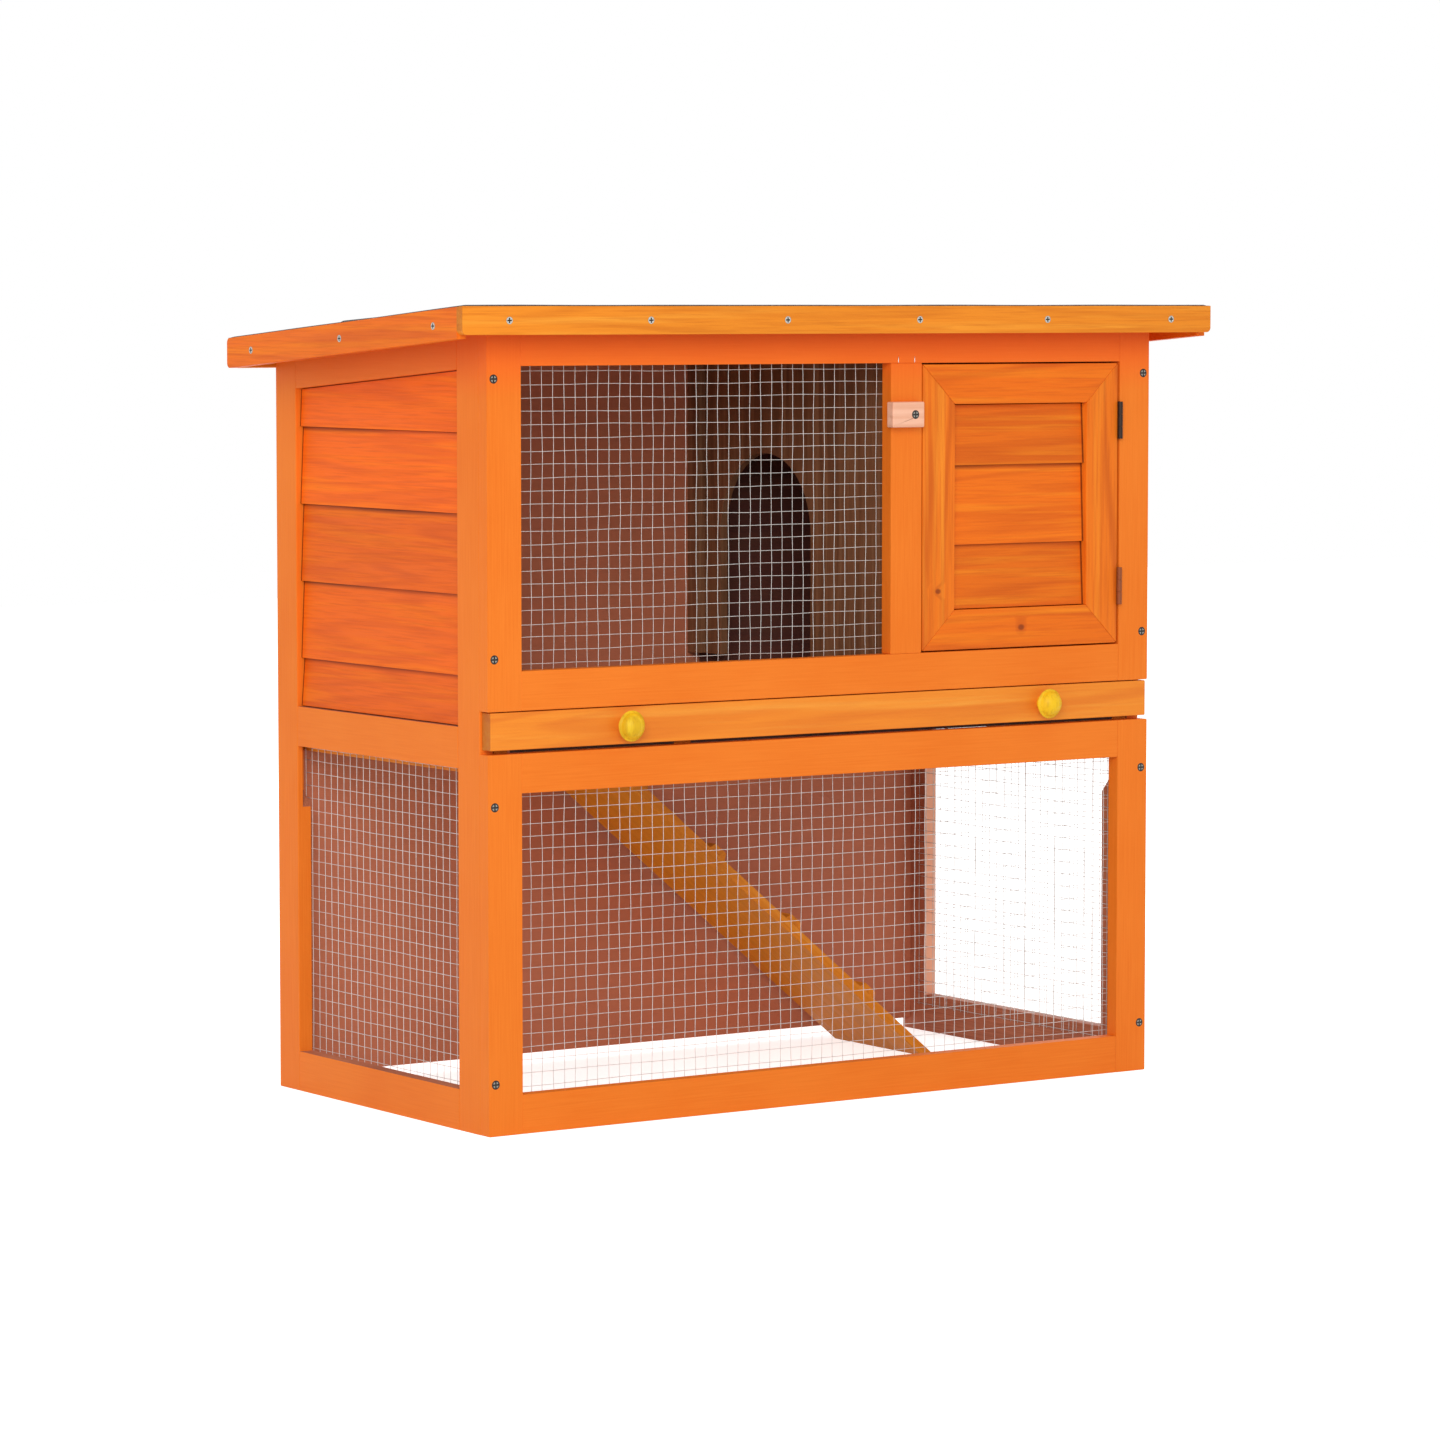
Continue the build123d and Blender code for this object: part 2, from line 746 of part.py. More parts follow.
# Turn button, stored turned clear of the door, on a screw in the middle stile
latch_x = door_left_x - latch_pivot_from_door_edge
latch_z = opening_high_z - latch_drop_from_opening_top
latch_centre_x = latch_x + latch_pivot_inset - latch_length / 2
latch_plane = Plane.XZ.offset(-(front_y - latch_face_gap))
with BuildPart(latch_plane) as turn_button:
    with Locations((latch_centre_x, latch_z)):
        Box(latch_length, latch_height, latch_thickness, align=above)
    fillet(turn_button.edges(), radius=min(latch_corner_radius, latch_thickness / 3))
    with Locations((latch_x, latch_z, latch_thickness)):
        CounterSinkHole(
            radius=panel_screw_shank_radius + pin_clearance,
            counter_sink_radius=panel_screw_head_radius + pin_clearance,
        )
finish(turn_button, "turn_button")
with BuildPart() as turn_button_screw:
    add_screws(
        Plane.XZ.offset(-(front_y - latch_face_gap - latch_thickness)), [(latch_x, latch_z)],
        panel_screw_head_radius, panel_screw_shank_radius,
        latch_thickness + latch_face_gap + panel_thickness,
    )
finish(turn_button_screw, "turn_button_screw")

# Drawer front with two turned knobs
drawer_left_x = left_x + drawer_end_clearance
drawer_right_x = right_x - drawer_end_clearance
block(
    "drawer_front",
    (drawer_left_x, front_y, drawer_low_z), (drawer_right_x, panel_back_y, drawer_high_z),
)


def knob(label, x):
    """A mushroom knob standing out of the drawer front, with a domed face."""
    z = (drawer_low_z + drawer_high_z) / 2
    profile_plane = Plane(origin=(x, front_y, z), x_dir=(1, 0, 0), z_dir=(0, 0, -1))
    dome_height = knob_height - knob_rim_height
    dome_edge = knob_radius - knob_rim_bevel
    dome_radius = (dome_edge**2 + dome_height**2) / (2 * dome_height)
    half_turn = asin(dome_edge / dome_radius) / 2
    dome_middle = (
        dome_radius * sin(half_turn), knob_height - dome_radius * (1 - cos(half_turn))
    )
    with BuildPart() as piece:
        with BuildSketch(profile_plane):
            with BuildLine():
                Polyline(
                    (0, knob_height), (0, 0), (knob_neck_radius, 0),
                    (knob_neck_radius, knob_neck_height), (knob_radius, knob_rim_height - knob_rim_bevel),
                    (dome_edge, knob_rim_height),
                )
                ThreePointArc((dome_edge, knob_rim_height), dome_middle, (0, knob_height))
            make_face()
        revolve(axis=Axis((x, front_y, z), (0, -1, 0)))
    finish(piece, label)


knob("left_knob", left_x + left_knob_inset)
knob("right_knob", right_x - right_knob_inset)

# Tray: folded sheet with a rim all round and a rimmed hole for the ramp
ramp_back_y = back_inner_y - ramp_back_margin
ramp_front_y = ramp_back_y - ramp_width
ramp_y = (ramp_front_y + ramp_back_y) / 2
tray_left_x = inner_left_x + tray_side_clearance
tray_right_x = inner_right_x - tray_side_clearance
tray_back_y = back_inner_y - tray_back_clearance
tray_width = tray_right_x - tray_left_x
tray_depth = tray_back_y - panel_back_y
hole_left_x = bearer_right_x + ramp_hole_start
hole_width = ramp_width + 2 * ramp_hole_margin
hole_centre = (hole_left_x + ramp_hole_length / 2, ramp_y)
tray_centre = ((tray_left_x + tray_right_x) / 2, (panel_back_y + tray_back_y) / 2)
with BuildPart() as tray:
    with BuildSketch(Plane.XY.offset(tray_low_z)):
        with Locations(tray_centre):
            Rectangle(tray_width, tray_depth)
        with Locations(hole_centre):
            Rectangle(ramp_hole_length, hole_width, mode=Mode.SUBTRACT)
    extrude(amount=tray_sheet)
    with BuildSketch(Plane.XY.offset(tray_low_z)):
        with Locations(tray_centre):
            Rectangle(tray_width, tray_depth)
            Rectangle(tray_width - 2 * tray_sheet, tray_depth - 2 * tray_sheet, mode=Mode.SUBTRACT)
    extrude(amount=tray_rim_height)
    with BuildSketch(Plane.XY.offset(tray_low_z)):
        with Locations(hole_centre):
            Rectangle(ramp_hole_length + 2 * tray_sheet, hole_width + 2 * tray_sheet)
            Rectangle(ramp_hole_length, hole_width, mode=Mode.SUBTRACT)
    extrude(amount=ramp_hole_rim_height)
finish(tray, "tray")

# Ramp: its own plane runs down the slope from the hinge line under the tray's hole
ramp_axis_x = bearer_right_x + ramp_leaf_thickness + ramp_knuckle_radius
ramp_axis_z = runner_high_z - ramp_hinge_drop - ramp_knuckle_radius
slope = radians(ramp_slope)
ramp_plane = Plane(
    origin=(ramp_axis_x, ramp_back_y, ramp_axis_z),
    x_dir=(cos(slope), 0, -sin(slope)),
    z_dir=(0, -1, 0),
)
ramp_top = ramp_knuckle_radius - ramp_leaf_thickness
ramp_bottom = ramp_top - ramp_thickness
foot_top = (ramp_axis_z + ramp_top * cos(slope)) / sin(slope)
foot_bottom = (ramp_axis_z + ramp_bottom * cos(slope)) / sin(slope)
with BuildPart() as ramp_board:
    with BuildSketch(ramp_plane):
        with BuildLine():
            Polyline(
                (ramp_end_gap, ramp_bottom), (foot_bottom, ramp_bottom),
                (foot_top, ramp_top), (ramp_end_gap, ramp_top),
                close=True,
            )
        make_face()
    extrude(amount=ramp_width)
finish(ramp_board, "ramp_board")

cleat_count = floor((foot_top - first_cleat_distance - cleat_width) / cleat_pitch) + 1
with BuildPart() as ramp_cleats:
    with BuildSketch(ramp_plane.offset(cleat_inset)):
        for number in range(cleat_count):
            start = first_cleat_distance + number * cleat_pitch - cleat_width / 2
            with BuildLine():
                Polyline(
                    (start, ramp_top), (start + cleat_width, ramp_top),
                    (start + cleat_width - cleat_height / 2, ramp_top + cleat_height),
                    (start + cleat_height / 2, ramp_top + cleat_height),
                    close=True,
                )
            make_face()
    extrude(amount=ramp_width - 2 * cleat_inset)
finish(ramp_cleats, "ramp_cleats")

# Ramp hinges: one near each edge, leaf on the bearer and leaf on the ramp
ramp_hinge_ys = (
    ramp_front_y + ramp_hinge_inset + ramp_hinge_width / 2,
    ramp_back_y - ramp_hinge_inset - ramp_hinge_width / 2,
)
ramp_knuckle_width = ramp_hinge_width / 3
ramp_hinge_turn = (90, 0, 0)
with BuildPart() as ramp_hinge_fixed_leaves:
    leaf_height = ramp_axis_z - runner_low_z - ramp_leaf_thickness
    for hinge_mid_y in ramp_hinge_ys:
        with Locations((bearer_right_x + ramp_leaf_thickness / 2, hinge_mid_y, ramp_axis_z)):
            Box(
                ramp_leaf_thickness, ramp_hinge_width, leaf_height,
                align=(Align.CENTER, Align.CENTER, Align.MAX),
            )
        for offset_y in (-ramp_knuckle_width, ramp_knuckle_width):
            with Locations((ramp_axis_x, hinge_mid_y + offset_y, ramp_axis_z)):
                Cylinder(ramp_knuckle_radius, ramp_knuckle_width, rotation=ramp_hinge_turn)
            with Locations((ramp_axis_x - ramp_knuckle_radius / 2, hinge_mid_y + offset_y, ramp_axis_z)):
                Box(ramp_knuckle_radius, ramp_knuckle_width, ramp_knuckle_radius)
        with Locations((ramp_axis_x, hinge_mid_y, ramp_axis_z)):
            Cylinder(ramp_pin_radius, ramp_hinge_width, rotation=ramp_hinge_turn)
finish(ramp_hinge_fixed_leaves, "ramp_hinge_fixed_leaves")

moving_knuckle_width = ramp_knuckle_width - 2 * hinge_joint_gap
with BuildPart() as ramp_hinge_moving_leaves:
    for hinge_mid_y in ramp_hinge_ys:
        with Locations((ramp_axis_x, hinge_mid_y, ramp_axis_z)):
            Cylinder(ramp_knuckle_radius, moving_knuckle_width, rotation=ramp_hinge_turn)
        with BuildSketch(ramp_plane.offset(ramp_back_y - hinge_mid_y - moving_knuckle_width / 2)):
            with Locations((ramp_leaf_length / 2, ramp_knuckle_radius - ramp_leaf_thickness / 2)):
                Rectangle(ramp_leaf_length, ramp_leaf_thickness)
        extrude(amount=moving_knuckle_width)
        with BuildSketch(ramp_plane.offset(ramp_back_y - hinge_mid_y - ramp_hinge_width / 2)):
            with Locations(
                ((ramp_end_gap + ramp_leaf_length) / 2, ramp_knuckle_radius - ramp_leaf_thickness / 2)
            ):
                Rectangle(ramp_leaf_length - ramp_end_gap, ramp_leaf_thickness)
        extrude(amount=ramp_hinge_width)
        with Locations((ramp_axis_x, hinge_mid_y, ramp_axis_z)):
            Cylinder(
                ramp_pin_radius + pin_clearance, ramp_hinge_width,
                rotation=ramp_hinge_turn, mode=Mode.SUBTRACT,
            )
finish(ramp_hinge_moving_leaves, "ramp_hinge_moving_leaves")
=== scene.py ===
"""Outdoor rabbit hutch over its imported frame: painted pine, stained boards, welded wire, zinc and felt."""
import math

import bpy
import numpy as np
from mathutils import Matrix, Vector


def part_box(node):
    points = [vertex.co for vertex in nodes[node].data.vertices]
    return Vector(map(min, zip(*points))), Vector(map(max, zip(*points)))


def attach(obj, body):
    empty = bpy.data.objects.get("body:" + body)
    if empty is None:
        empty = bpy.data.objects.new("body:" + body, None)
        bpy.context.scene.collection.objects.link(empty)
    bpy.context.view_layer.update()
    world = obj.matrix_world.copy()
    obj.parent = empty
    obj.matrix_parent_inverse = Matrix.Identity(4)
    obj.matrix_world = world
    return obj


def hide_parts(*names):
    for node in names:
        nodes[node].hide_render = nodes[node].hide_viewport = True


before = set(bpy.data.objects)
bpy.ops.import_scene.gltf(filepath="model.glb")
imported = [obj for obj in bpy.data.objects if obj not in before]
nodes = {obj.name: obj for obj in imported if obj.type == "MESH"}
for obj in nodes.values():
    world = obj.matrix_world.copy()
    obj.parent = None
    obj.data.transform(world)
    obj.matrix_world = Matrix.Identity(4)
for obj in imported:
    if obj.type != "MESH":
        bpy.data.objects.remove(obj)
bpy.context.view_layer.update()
scene = bpy.context.scene
scene.view_settings.view_transform = "Standard"


# Panel frames
# Planed pine stiles and rails, jointed flush and sprayed with opaque orange paint. The paint hides the
# grain, so only faint fibre lines and soft clouds of colour show, over a low gloss and rounded arrises.

def linear(hex_colour):
    """An sRGB hex colour as the linear RGBA that a socket takes."""
    values = np.array([int(hex_colour[place:place + 2], 16) for place in (1, 3, 5)]) / 255
    curved = ((values + 0.055) / 1.055) ** 2.4
    return (*np.where(values <= 0.04045, values / 12.92, curved).tolist(), 1.0)


def add_node(holder, kind, sockets, **settings):
    """Adds a node to a material or world and returns its outputs. A socket takes a value or an output."""
    node = holder.node_tree.nodes.new("ShaderNode" + kind)
    for name, value in settings.items():
        setattr(node, name, value)
    for name, value in sockets.items():
        if isinstance(value, bpy.types.NodeSocket):
            holder.node_tree.links.new(value, node.inputs[name])
        else:
            node.inputs[name].default_value = value
    return node.outputs


def blank_finish(name):
    """A material with an empty node tree."""
    material = bpy.data.materials.new(name)
    material.use_nodes = True
    material.node_tree.nodes.clear()
    return material


def grain_lengths(grain, length):
    """A pattern's size along each axis, drawn out along the grain."""
    return tuple(length if axis == grain else 1.0 for axis in "xyz")


frame_coat, frame_thin_coat = "#F28025", "#EA7218"
# eaves_painted_shade: a redder coat high on the frame, painted shade under the roof's overhang.
eaves_painted_shade = "#FF5E1C"
eaves_shade_low, eaves_shade_high = 0.705, 0.77
# Painted shade on the side members' inner and upper faces, painted light on forward faces by the right
# window.
inside_painted_shade, inside_thin_painted_shade, painted_light_tone = "#C47A5A", "#9A563E", "#F8B492"
painted_light_past_x, painted_light_under_z = 0.380, 0.351


def paint_inside_shade_and_light(material, place, thin, outward):
    """Shares of a side member's faces whose paint colour is replaced, with their colours: painted shade on
    the inner and upper faces, and painted light, pale, on the forward faces beside the right window."""
    facing = add_node(material, "NewGeometry", {})["Normal"]
    inward = add_node(
        material, "VectorMath", {0: facing, 1: (-outward, 0.0, 1.0)}, operation="DOT_PRODUCT"
    )["Value"]
    inner = add_node(material, "MapRange", {0: inward, 1: 0.4, 2: 0.6})[0]
    inner_colour = add_node(
        material, "Mix", {0: thin, 6: linear(inside_painted_shade), 7: linear(inside_thin_painted_shade)}, data_type="RGBA"
    )[2]
    forward = add_node(
        material, "VectorMath", {0: facing, 1: (0.0, -1.0, 0.0)}, operation="DOT_PRODUCT"
    )["Value"]
    xyz = add_node(material, "SeparateXYZ", {0: place})
    right = add_node(material, "MapRange", {0: xyz[0], 1: painted_light_past_x, 2: painted_light_past_x + 0.004})[0]
    right_window = add_node(
        material, "MapRange", {0: xyz[2], 1: painted_light_under_z - 0.002, 2: painted_light_under_z, 3: right, 4: 0.0}
    )[0]
    wear_and_painted_light = add_node(material, "MapRange", {0: forward, 1: 0.5, 2: 0.7, 3: 0.0, 4: right_window})[0]
    return [(inner, inner_colour), (wear_and_painted_light, linear(painted_light_tone))]


def painted_pine(grain, outward=None):
    """Paint over pine: fibres 1.5 mm wide and 60 long, and clouds 150 mm wide, thin the coat's colour,
    and a redder coat under the eaves is painted shade of the roof. outward is the way a side faces."""
    material = blank_finish("pine_paint_and_shade_" + grain)
    place = add_node(material, "TexCoord", {})["Object"]
    drawn = add_node(
        material, "Mapping", {"Vector": place, "Scale": grain_lengths(grain, 40.0)}, vector_type="TEXTURE"
    )[0]
    fibres = add_node(material, "TexNoise", {"Vector": drawn, "Scale": 600.0, "Detail": 3.0})["Fac"]
    clouds = add_node(material, "TexNoise", {"Vector": place, "Scale": 7.0, "Detail": 3.0})["Fac"]
    both = add_node(material, "Math", {0: fibres, 1: clouds}, operation="ADD")[0]
    thin = add_node(material, "MapRange", {0: both, 1: 0.75, 2: 1.3, 3: 0.0, 4: 0.8})[0]
    height = add_node(material, "SeparateXYZ", {0: place})[2]
    # Painted shade: the coat turns redder towards the eaves.
    eaves_shade_share = add_node(material, "MapRange", {0: height, 1: eaves_shade_low, 2: eaves_shade_high, 3: 0.0, 4: 0.8})[0]
    layers = [(thin, linear(frame_thin_coat)), (eaves_shade_share, linear(eaves_painted_shade))]
    # With outward given, the inner and upper faces get painted shade and forward faces by the right window
    # painted light.
    if outward:
        layers += paint_inside_shade_and_light(material, place, thin, outward)
    colour = linear(frame_coat)
    for share, tone in layers:
        colour = add_node(material, "Mix", {0: share, 6: colour, 7: tone}, data_type="RGBA")[2]
    bump = add_node(material, "Bump", {"Height": fibres, "Distance": 0.0001})[0]
    surface = add_node(
        material, "BsdfPrincipled",
        {"Base Color": colour, "Roughness": 0.52, "Specular IOR Level": 0.17, "Normal": bump},
    )[0]
    add_node(material, "OutputMaterial", {"Surface": surface})
    return material


def dress(names, material, arris=0.0):
    """Gives CAD nodes a finish. An arris in metres rounds their edges, once the split corners are welded."""
    for name in names:
        node = nodes[name]
        node.data.materials.clear()
        node.data.materials.append(material)
        if arris:
            node.modifiers.new("weld", "WELD").merge_threshold = 0.00001
            bevel = node.modifiers.new("arris", "BEVEL")
            bevel.width = arris
            bevel.segments = 2
            bevel.limit_method = "ANGLE"
            bevel.angle_limit = math.radians(40)
            node.modifiers.new("even", "WEIGHTED_NORMAL")


front_stiles = [
    "lower_left_stile", "lower_right_stile", "upper_left_stile", "upper_right_stile", "upper_mid_stile",
]
front_rails = ["lower_bottom_rail", "lower_top_rail", "upper_bottom_rail", "upper_top_rail"]
planed_arris = 0.0008
dress(front_stiles, painted_pine("z"), planed_arris)
dress(front_rails, painted_pine("x"), planed_arris)
for side, outward in (("left", -1.0), ("right", 1.0)):
    side_stiles = [side + end for end in ("_front_stile", "_rear_stile")]
    side_rails = [side + rail for rail in ("_bottom_rail", "_mid_rail", "_top_rail")]
    for members, grain in ((side_stiles, "z"), (side_rails, "y")):
        dress(members, painted_pine(grain, outward), planed_arris)


# Weatherboards
# Lapped boards of sawn pine in a red-orange stain, nailed across each end of the upper floor. The stain
# is thin, so growth rings, fibres and darker streaks show, and no two boards are cut from one place.

def wood_patterns(material, here, grain, turn):
    """Noises drawn out along the grain: figure 60 mm wide, fibres 2, streaks 8 and patches 110."""
    patterns = {}
    for pattern, length, scale, detail in (
        ("figure", 14.0, 17.0, 1.5), ("fibres", 30.0, 480.0, 3.0), ("streaks", 34.0, 120.0, 5.0),
        ("patches", 3.0, 9.0, 2.0),
    ):
        drawn = add_node(
            material, "Mapping",
            {"Vector": here, "Rotation": (0.0, turn, 0.0), "Scale": grain_lengths(grain, length)},
            vector_type="TEXTURE",
        )[0]
        patterns[pattern] = add_node(
            material, "TexNoise", {"Vector": drawn, "Scale": scale, "Detail": detail, "Distortion": 0.12}
        )["Fac"]
    return patterns


def bend_round_knots(material, place, figure, knots):
    """The figure, raised round each knot's centre so that its ring lines close there, and the hearts."""
    hearts = []
    for centre, radius in knots:
        near = add_node(
            material, "Mapping",
            {"Vector": place, "Location": centre, "Scale": tuple(radius * size for size in (1.3, 60, 1.0))},
            vector_type="TEXTURE",
        )[0]
        away = add_node(material, "VectorMath", {0: near}, operation="LENGTH")["Value"]
        swirl = add_node(
            material, "MapRange", {0: away, 1: 0.8, 2: 4.0, 3: 0.07, 4: 0.0}, interpolation_type="SMOOTHSTEP"
        )[0]
        figure = add_node(material, "Math", {0: figure, 1: swirl}, operation="ADD")[0]
        hearts.append(add_node(
            material, "MapRange", {0: away, 1: 0.5, 2: 1.2, 3: 0.75, 4: 0.0}, interpolation_type="SMOOTHSTEP"
        )[0])
    return figure, hearts


def boards_along(material, place, boards):
    """Boards counted from the first joint: the whole part is a board's number, the rest its way across."""
    axis, first_joint, width = boards
    along = add_node(material, "SeparateXYZ", {0: place})["XYZ".index(axis.upper())]
    steps = add_node(material, "Math", {0: along, 1: first_joint}, operation="SUBTRACT")[0]
    return add_node(material, "Math", {0: steps, 1: width}, operation="DIVIDE")[0]


def lap_shadow_line(material, count, width, streaks):
    """A ragged painted shadow line along the top 2 mm of each board, where the next one laps over it."""
    across = add_node(material, "Math", {0: count}, operation="FRACT")[0]
    lap = 1 - 0.002 / width
    ragged = add_node(material, "MapRange", {0: streaks, 1: 0.35, 2: 0.65, 3: 0.25, 4: 0.85})[0]
    return add_node(material, "MapRange", {0: across, 1: lap - 0.04, 2: lap + 0.01, 3: 0.0, 4: ragged})[0]


def rim_shadow_line(material, place, rim):
    """A painted shadow line that starts 2.6 mm short of a reach, both ways from a middle along an axis."""
    axis, middle_line, reach = rim
    along = add_node(material, "SeparateXYZ", {0: place})["XYZ".index(axis.upper())]
    off_middle = add_node(material, "Math", {0: along, 1: middle_line}, operation="SUBTRACT")[0]
    off_middle = add_node(material, "Math", {0: off_middle}, operation="ABSOLUTE")[0]
    return add_node(
        material, "MapRange", {0: off_middle, 1: reach - 0.0026, 2: reach - 0.0012, 3: 0.0, 4: 0.85}
    )[0]


def paint_faces_shade_and_light(material, place, painted_faces):
    """The share of the faces that look a way, and their painted tone of light or shade, which is another past
    an x and over a z.
    """
    # stain is the painted tone: painted shade on the back wall, painted light on the ramp's underside.
    way, stain, share, far_painted_tone, wall_x, floor_z = painted_faces
    facing = add_node(material, "NewGeometry", {})["Normal"]
    facing_way = add_node(material, "VectorMath", {0: facing, 1: way}, operation="DOT_PRODUCT")["Value"]
    xyz = add_node(material, "SeparateXYZ", {0: place})
    past = add_node(material, "MapRange", {0: xyz[0], 1: wall_x, 2: wall_x + 0.002})[0]
    above = add_node(
        material, "MapRange", {0: xyz[2], 1: floor_z, 2: floor_z + 0.002, 3: 0.0, 4: past}
    )[0]
    colour = add_node(
        material, "Mix", {0: above, 6: linear(stain), 7: linear(far_painted_tone)}, data_type="RGBA"
    )[2]
    shown = add_node(material, "MapRange", {0: facing_way, 1: 0.5, 2: 0.6, 3: 0.0, 4: share})[0]
    return shown, colour


knot_heart = "#7A2E0C"
# Painted shadow lines, under board laps and along rims, take this tone.
painted_shade_line_tone = "#5A1E08"


def stained_pine(name, grain, tones, rings, fibre_depth=0.35, boards=None, rim=None, knots=(), turn=0.0,
                 painted_faces=None, roughness=0.52):
    """Stain over flat-sawn pine: ring lines are the sine of the slow figure, and pale streaks and dark
    fibres lie over them. boards is the axis, first joint and width of boards side by side, each with its
    own grain and a painted shadow line under its lap. rim is an axis, a middle and a reach, where a painted
    shadow line runs. A knot is a centre and a radius. painted_faces is a way, the tone painted as light or
    shade on faces that look that way, its share, and the tone painted past an x and over a z. turn leans
    the grain about y."""
    light, middle, dark = (linear(tone) for tone in tones)
    material = blank_finish(name)
    place = add_node(material, "TexCoord", {})["Object"]
    here, chance = place, 0.5
    if boards:
        count = boards_along(material, place, boards)
        number = add_node(material, "Math", {0: count}, operation="FLOOR")[0]
        drawn_lot = add_node(material, "TexWhiteNoise", {"W": number}, noise_dimensions="1D")
        chance = drawn_lot["Value"]
        here = add_node(material, "VectorMath", {0: place, 1: drawn_lot["Color"]}, operation="ADD")[0]
    patterns = wood_patterns(material, here, grain, turn)
    fibres, streaks = patterns["fibres"], patterns["streaks"]
    figure, hearts = bend_round_knots(material, place, patterns["figure"], knots)
    turns = add_node(material, "Math", {0: figure, 1: 9.0 * math.tau}, operation="MULTIPLY")[0]
    wave = add_node(material, "Math", {0: turns}, operation="SINE")[0]
    ring_lines = add_node(material, "MapRange", {0: wave, 1: 0.0, 2: 1.0, 3: 0.0, 4: rings})[0]
    pale_streaks = add_node(material, "MapRange", {0: streaks, 1: 0.5, 2: 0.72, 3: 0.0, 4: 0.75})[0]
    fibre_lines = add_node(material, "MapRange", {0: fibres, 1: 0.45, 2: 0.72, 3: 0.0, 4: fibre_depth})[0]
    layers = [(ring_lines, dark), (pale_streaks, light), (fibre_lines, dark)]
    layers += [(heart, linear(knot_heart)) for heart in hearts]
    if boards:
        layers.append((lap_shadow_line(material, count, boards[2], streaks), linear(painted_shade_line_tone)))
    if painted_faces:
        layers.append(paint_faces_shade_and_light(material, place, painted_faces))
    if rim:
        layers.append((rim_shadow_line(material, place, rim), linear(painted_shade_line_tone)))
    colour = middle
    for share, tone in layers:
        colour = add_node(material, "Mix", {0: share, 6: colour, 7: tone}, data_type="RGBA")[2]
    uneven = add_node(material, "Math", {0: patterns["patches"], 1: chance}, operation="ADD")[0]
    value = add_node(material, "MapRange", {0: uneven, 1: 0.6, 2: 1.4, 3: 0.9, 4: 1.06})[0]
    colour = add_node(material, "VectorMath", {0: colour, 3: value}, operation="SCALE")[0]
    dryness = add_node(
        material, "MapRange", {0: streaks, 1: 0.2, 2: 0.8, 3: roughness - 0.06, 4: roughness + 0.1}
    )[0]
    relief = add_node(material, "Math", {0: wave, 1: -0.2, 2: fibres}, operation="MULTIPLY_ADD")[0]
    bump = add_node(material, "Bump", {"Height": relief, "Distance": 0.0003})[0]
    surface = add_node(
        material, "BsdfPrincipled",
        {"Base Color": colour, "Roughness": dryness, "Specular IOR Level": 0.2, "Normal": bump},
    )[0]
    add_node(material, "OutputMaterial", {"Surface": surface})
    return material


sawn_arris = 0.0006
board_tones = ("#FC7E12", "#F66A08", "#CE4C04")
# Painted shadow lines run under each lap and along the edges of the bay.
dress(
    ["left_weatherboards", "right_weatherboards"],
    stained_pine(
        "weatherboard_stain_and_shade_lines", "y", board_tones, 0.3, 0.45, boards=("z", 0.439, 0.0775),
        rim=("y", 0.02165, 0.155),
    ),
    sawn_arris,
)


# Back wall
# Thin softwood boards across the back, in the weatherboards' stain outside. Their forward faces carry a
# brown-red painted shade with little grain, nearly black in the sleeping room behind the divider.

dress(
    ["back_wall"],
    stained_pine(
        "back_wall_stain_and_painted_shade", "x", board_tones, 0.35, 0.45,
        # painted_faces: painted shade on the forward faces, near black past the divider and above the upper
        # floor.
        painted_faces=((0.0, -1.0, 0.0), "#C27A5E", 0.88, "#3C3638", 0.104, 0.405),
    ),
    sawn_arris,
)


# Wire nets
# Square welded netting of hot-dipped galvanised wire, 0.6 mm thick, behind each window. Upright wires lie
# outside the level ones and sink a little into them where they are welded. The zinc is pale and dull.

wire_pitch = 0.0127
wire_radius = 0.0003
layer_step = 0.0005
front_wire_bow = 0.0004
side_wire_bow = 0.0002
wire_lot = np.random.default_rng(7)


def zinc(name, hex_colour, spangle, cell_scale, roughness, metallic=0.85):
    """Metal under zinc or oxide: crystal patches, cell_scale of them to the metre, differ in brightness and
    gloss, with a fine grain 1 mm wide over them."""
    material = blank_finish(name)
    place = add_node(material, "TexCoord", {})["Object"]
    cells = add_node(material, "TexVoronoi", {"Vector": place, "Scale": cell_scale})["Color"]
    patch = add_node(material, "SeparateColor", {0: cells})[0]
    fine = add_node(material, "TexNoise", {"Vector": place, "Scale": 900.0, "Detail": 2.0})["Fac"]
    value = add_node(material, "MapRange", {0: patch, 3: 1.0 - spangle, 4: 1.0 + spangle})[0]
    shade = add_node(material, "Math", {0: fine, 1: 0.12, 2: value}, operation="MULTIPLY_ADD")[0]
    even = add_node(material, "Math", {0: shade, 1: 0.06}, operation="SUBTRACT")[0]
    colour = add_node(
        material, "VectorMath", {0: linear(hex_colour)[:3], 3: even}, operation="SCALE"
    )[0]
    gloss = add_node(material, "MapRange", {0: patch, 3: roughness - 0.05, 4: roughness + 0.12})[0]
    bump = add_node(material, "Bump", {"Height": fine, "Distance": 0.00005})[0]
    surface = add_node(
        material, "BsdfPrincipled",
        {"Base Color": colour, "Metallic": metallic, "Roughness": gloss, "Normal": bump},
    )[0]
    add_node(material, "OutputMaterial", {"Surface": surface})
    return material


def new_piece(name, points, faces, body, material, smooth=True):
    """A mesh object at the origin from points and faces, riding on a body."""
    mesh = bpy.data.meshes.new(name)
    mesh.from_pydata(points, [], faces)
    mesh.polygons.foreach_set("use_smooth", np.full(len(mesh.polygons), smooth))
    mesh.materials.append(material)
    piece = bpy.data.objects.new(name, mesh)
    scene.collection.objects.link(piece)
    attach(piece, body)
    return piece


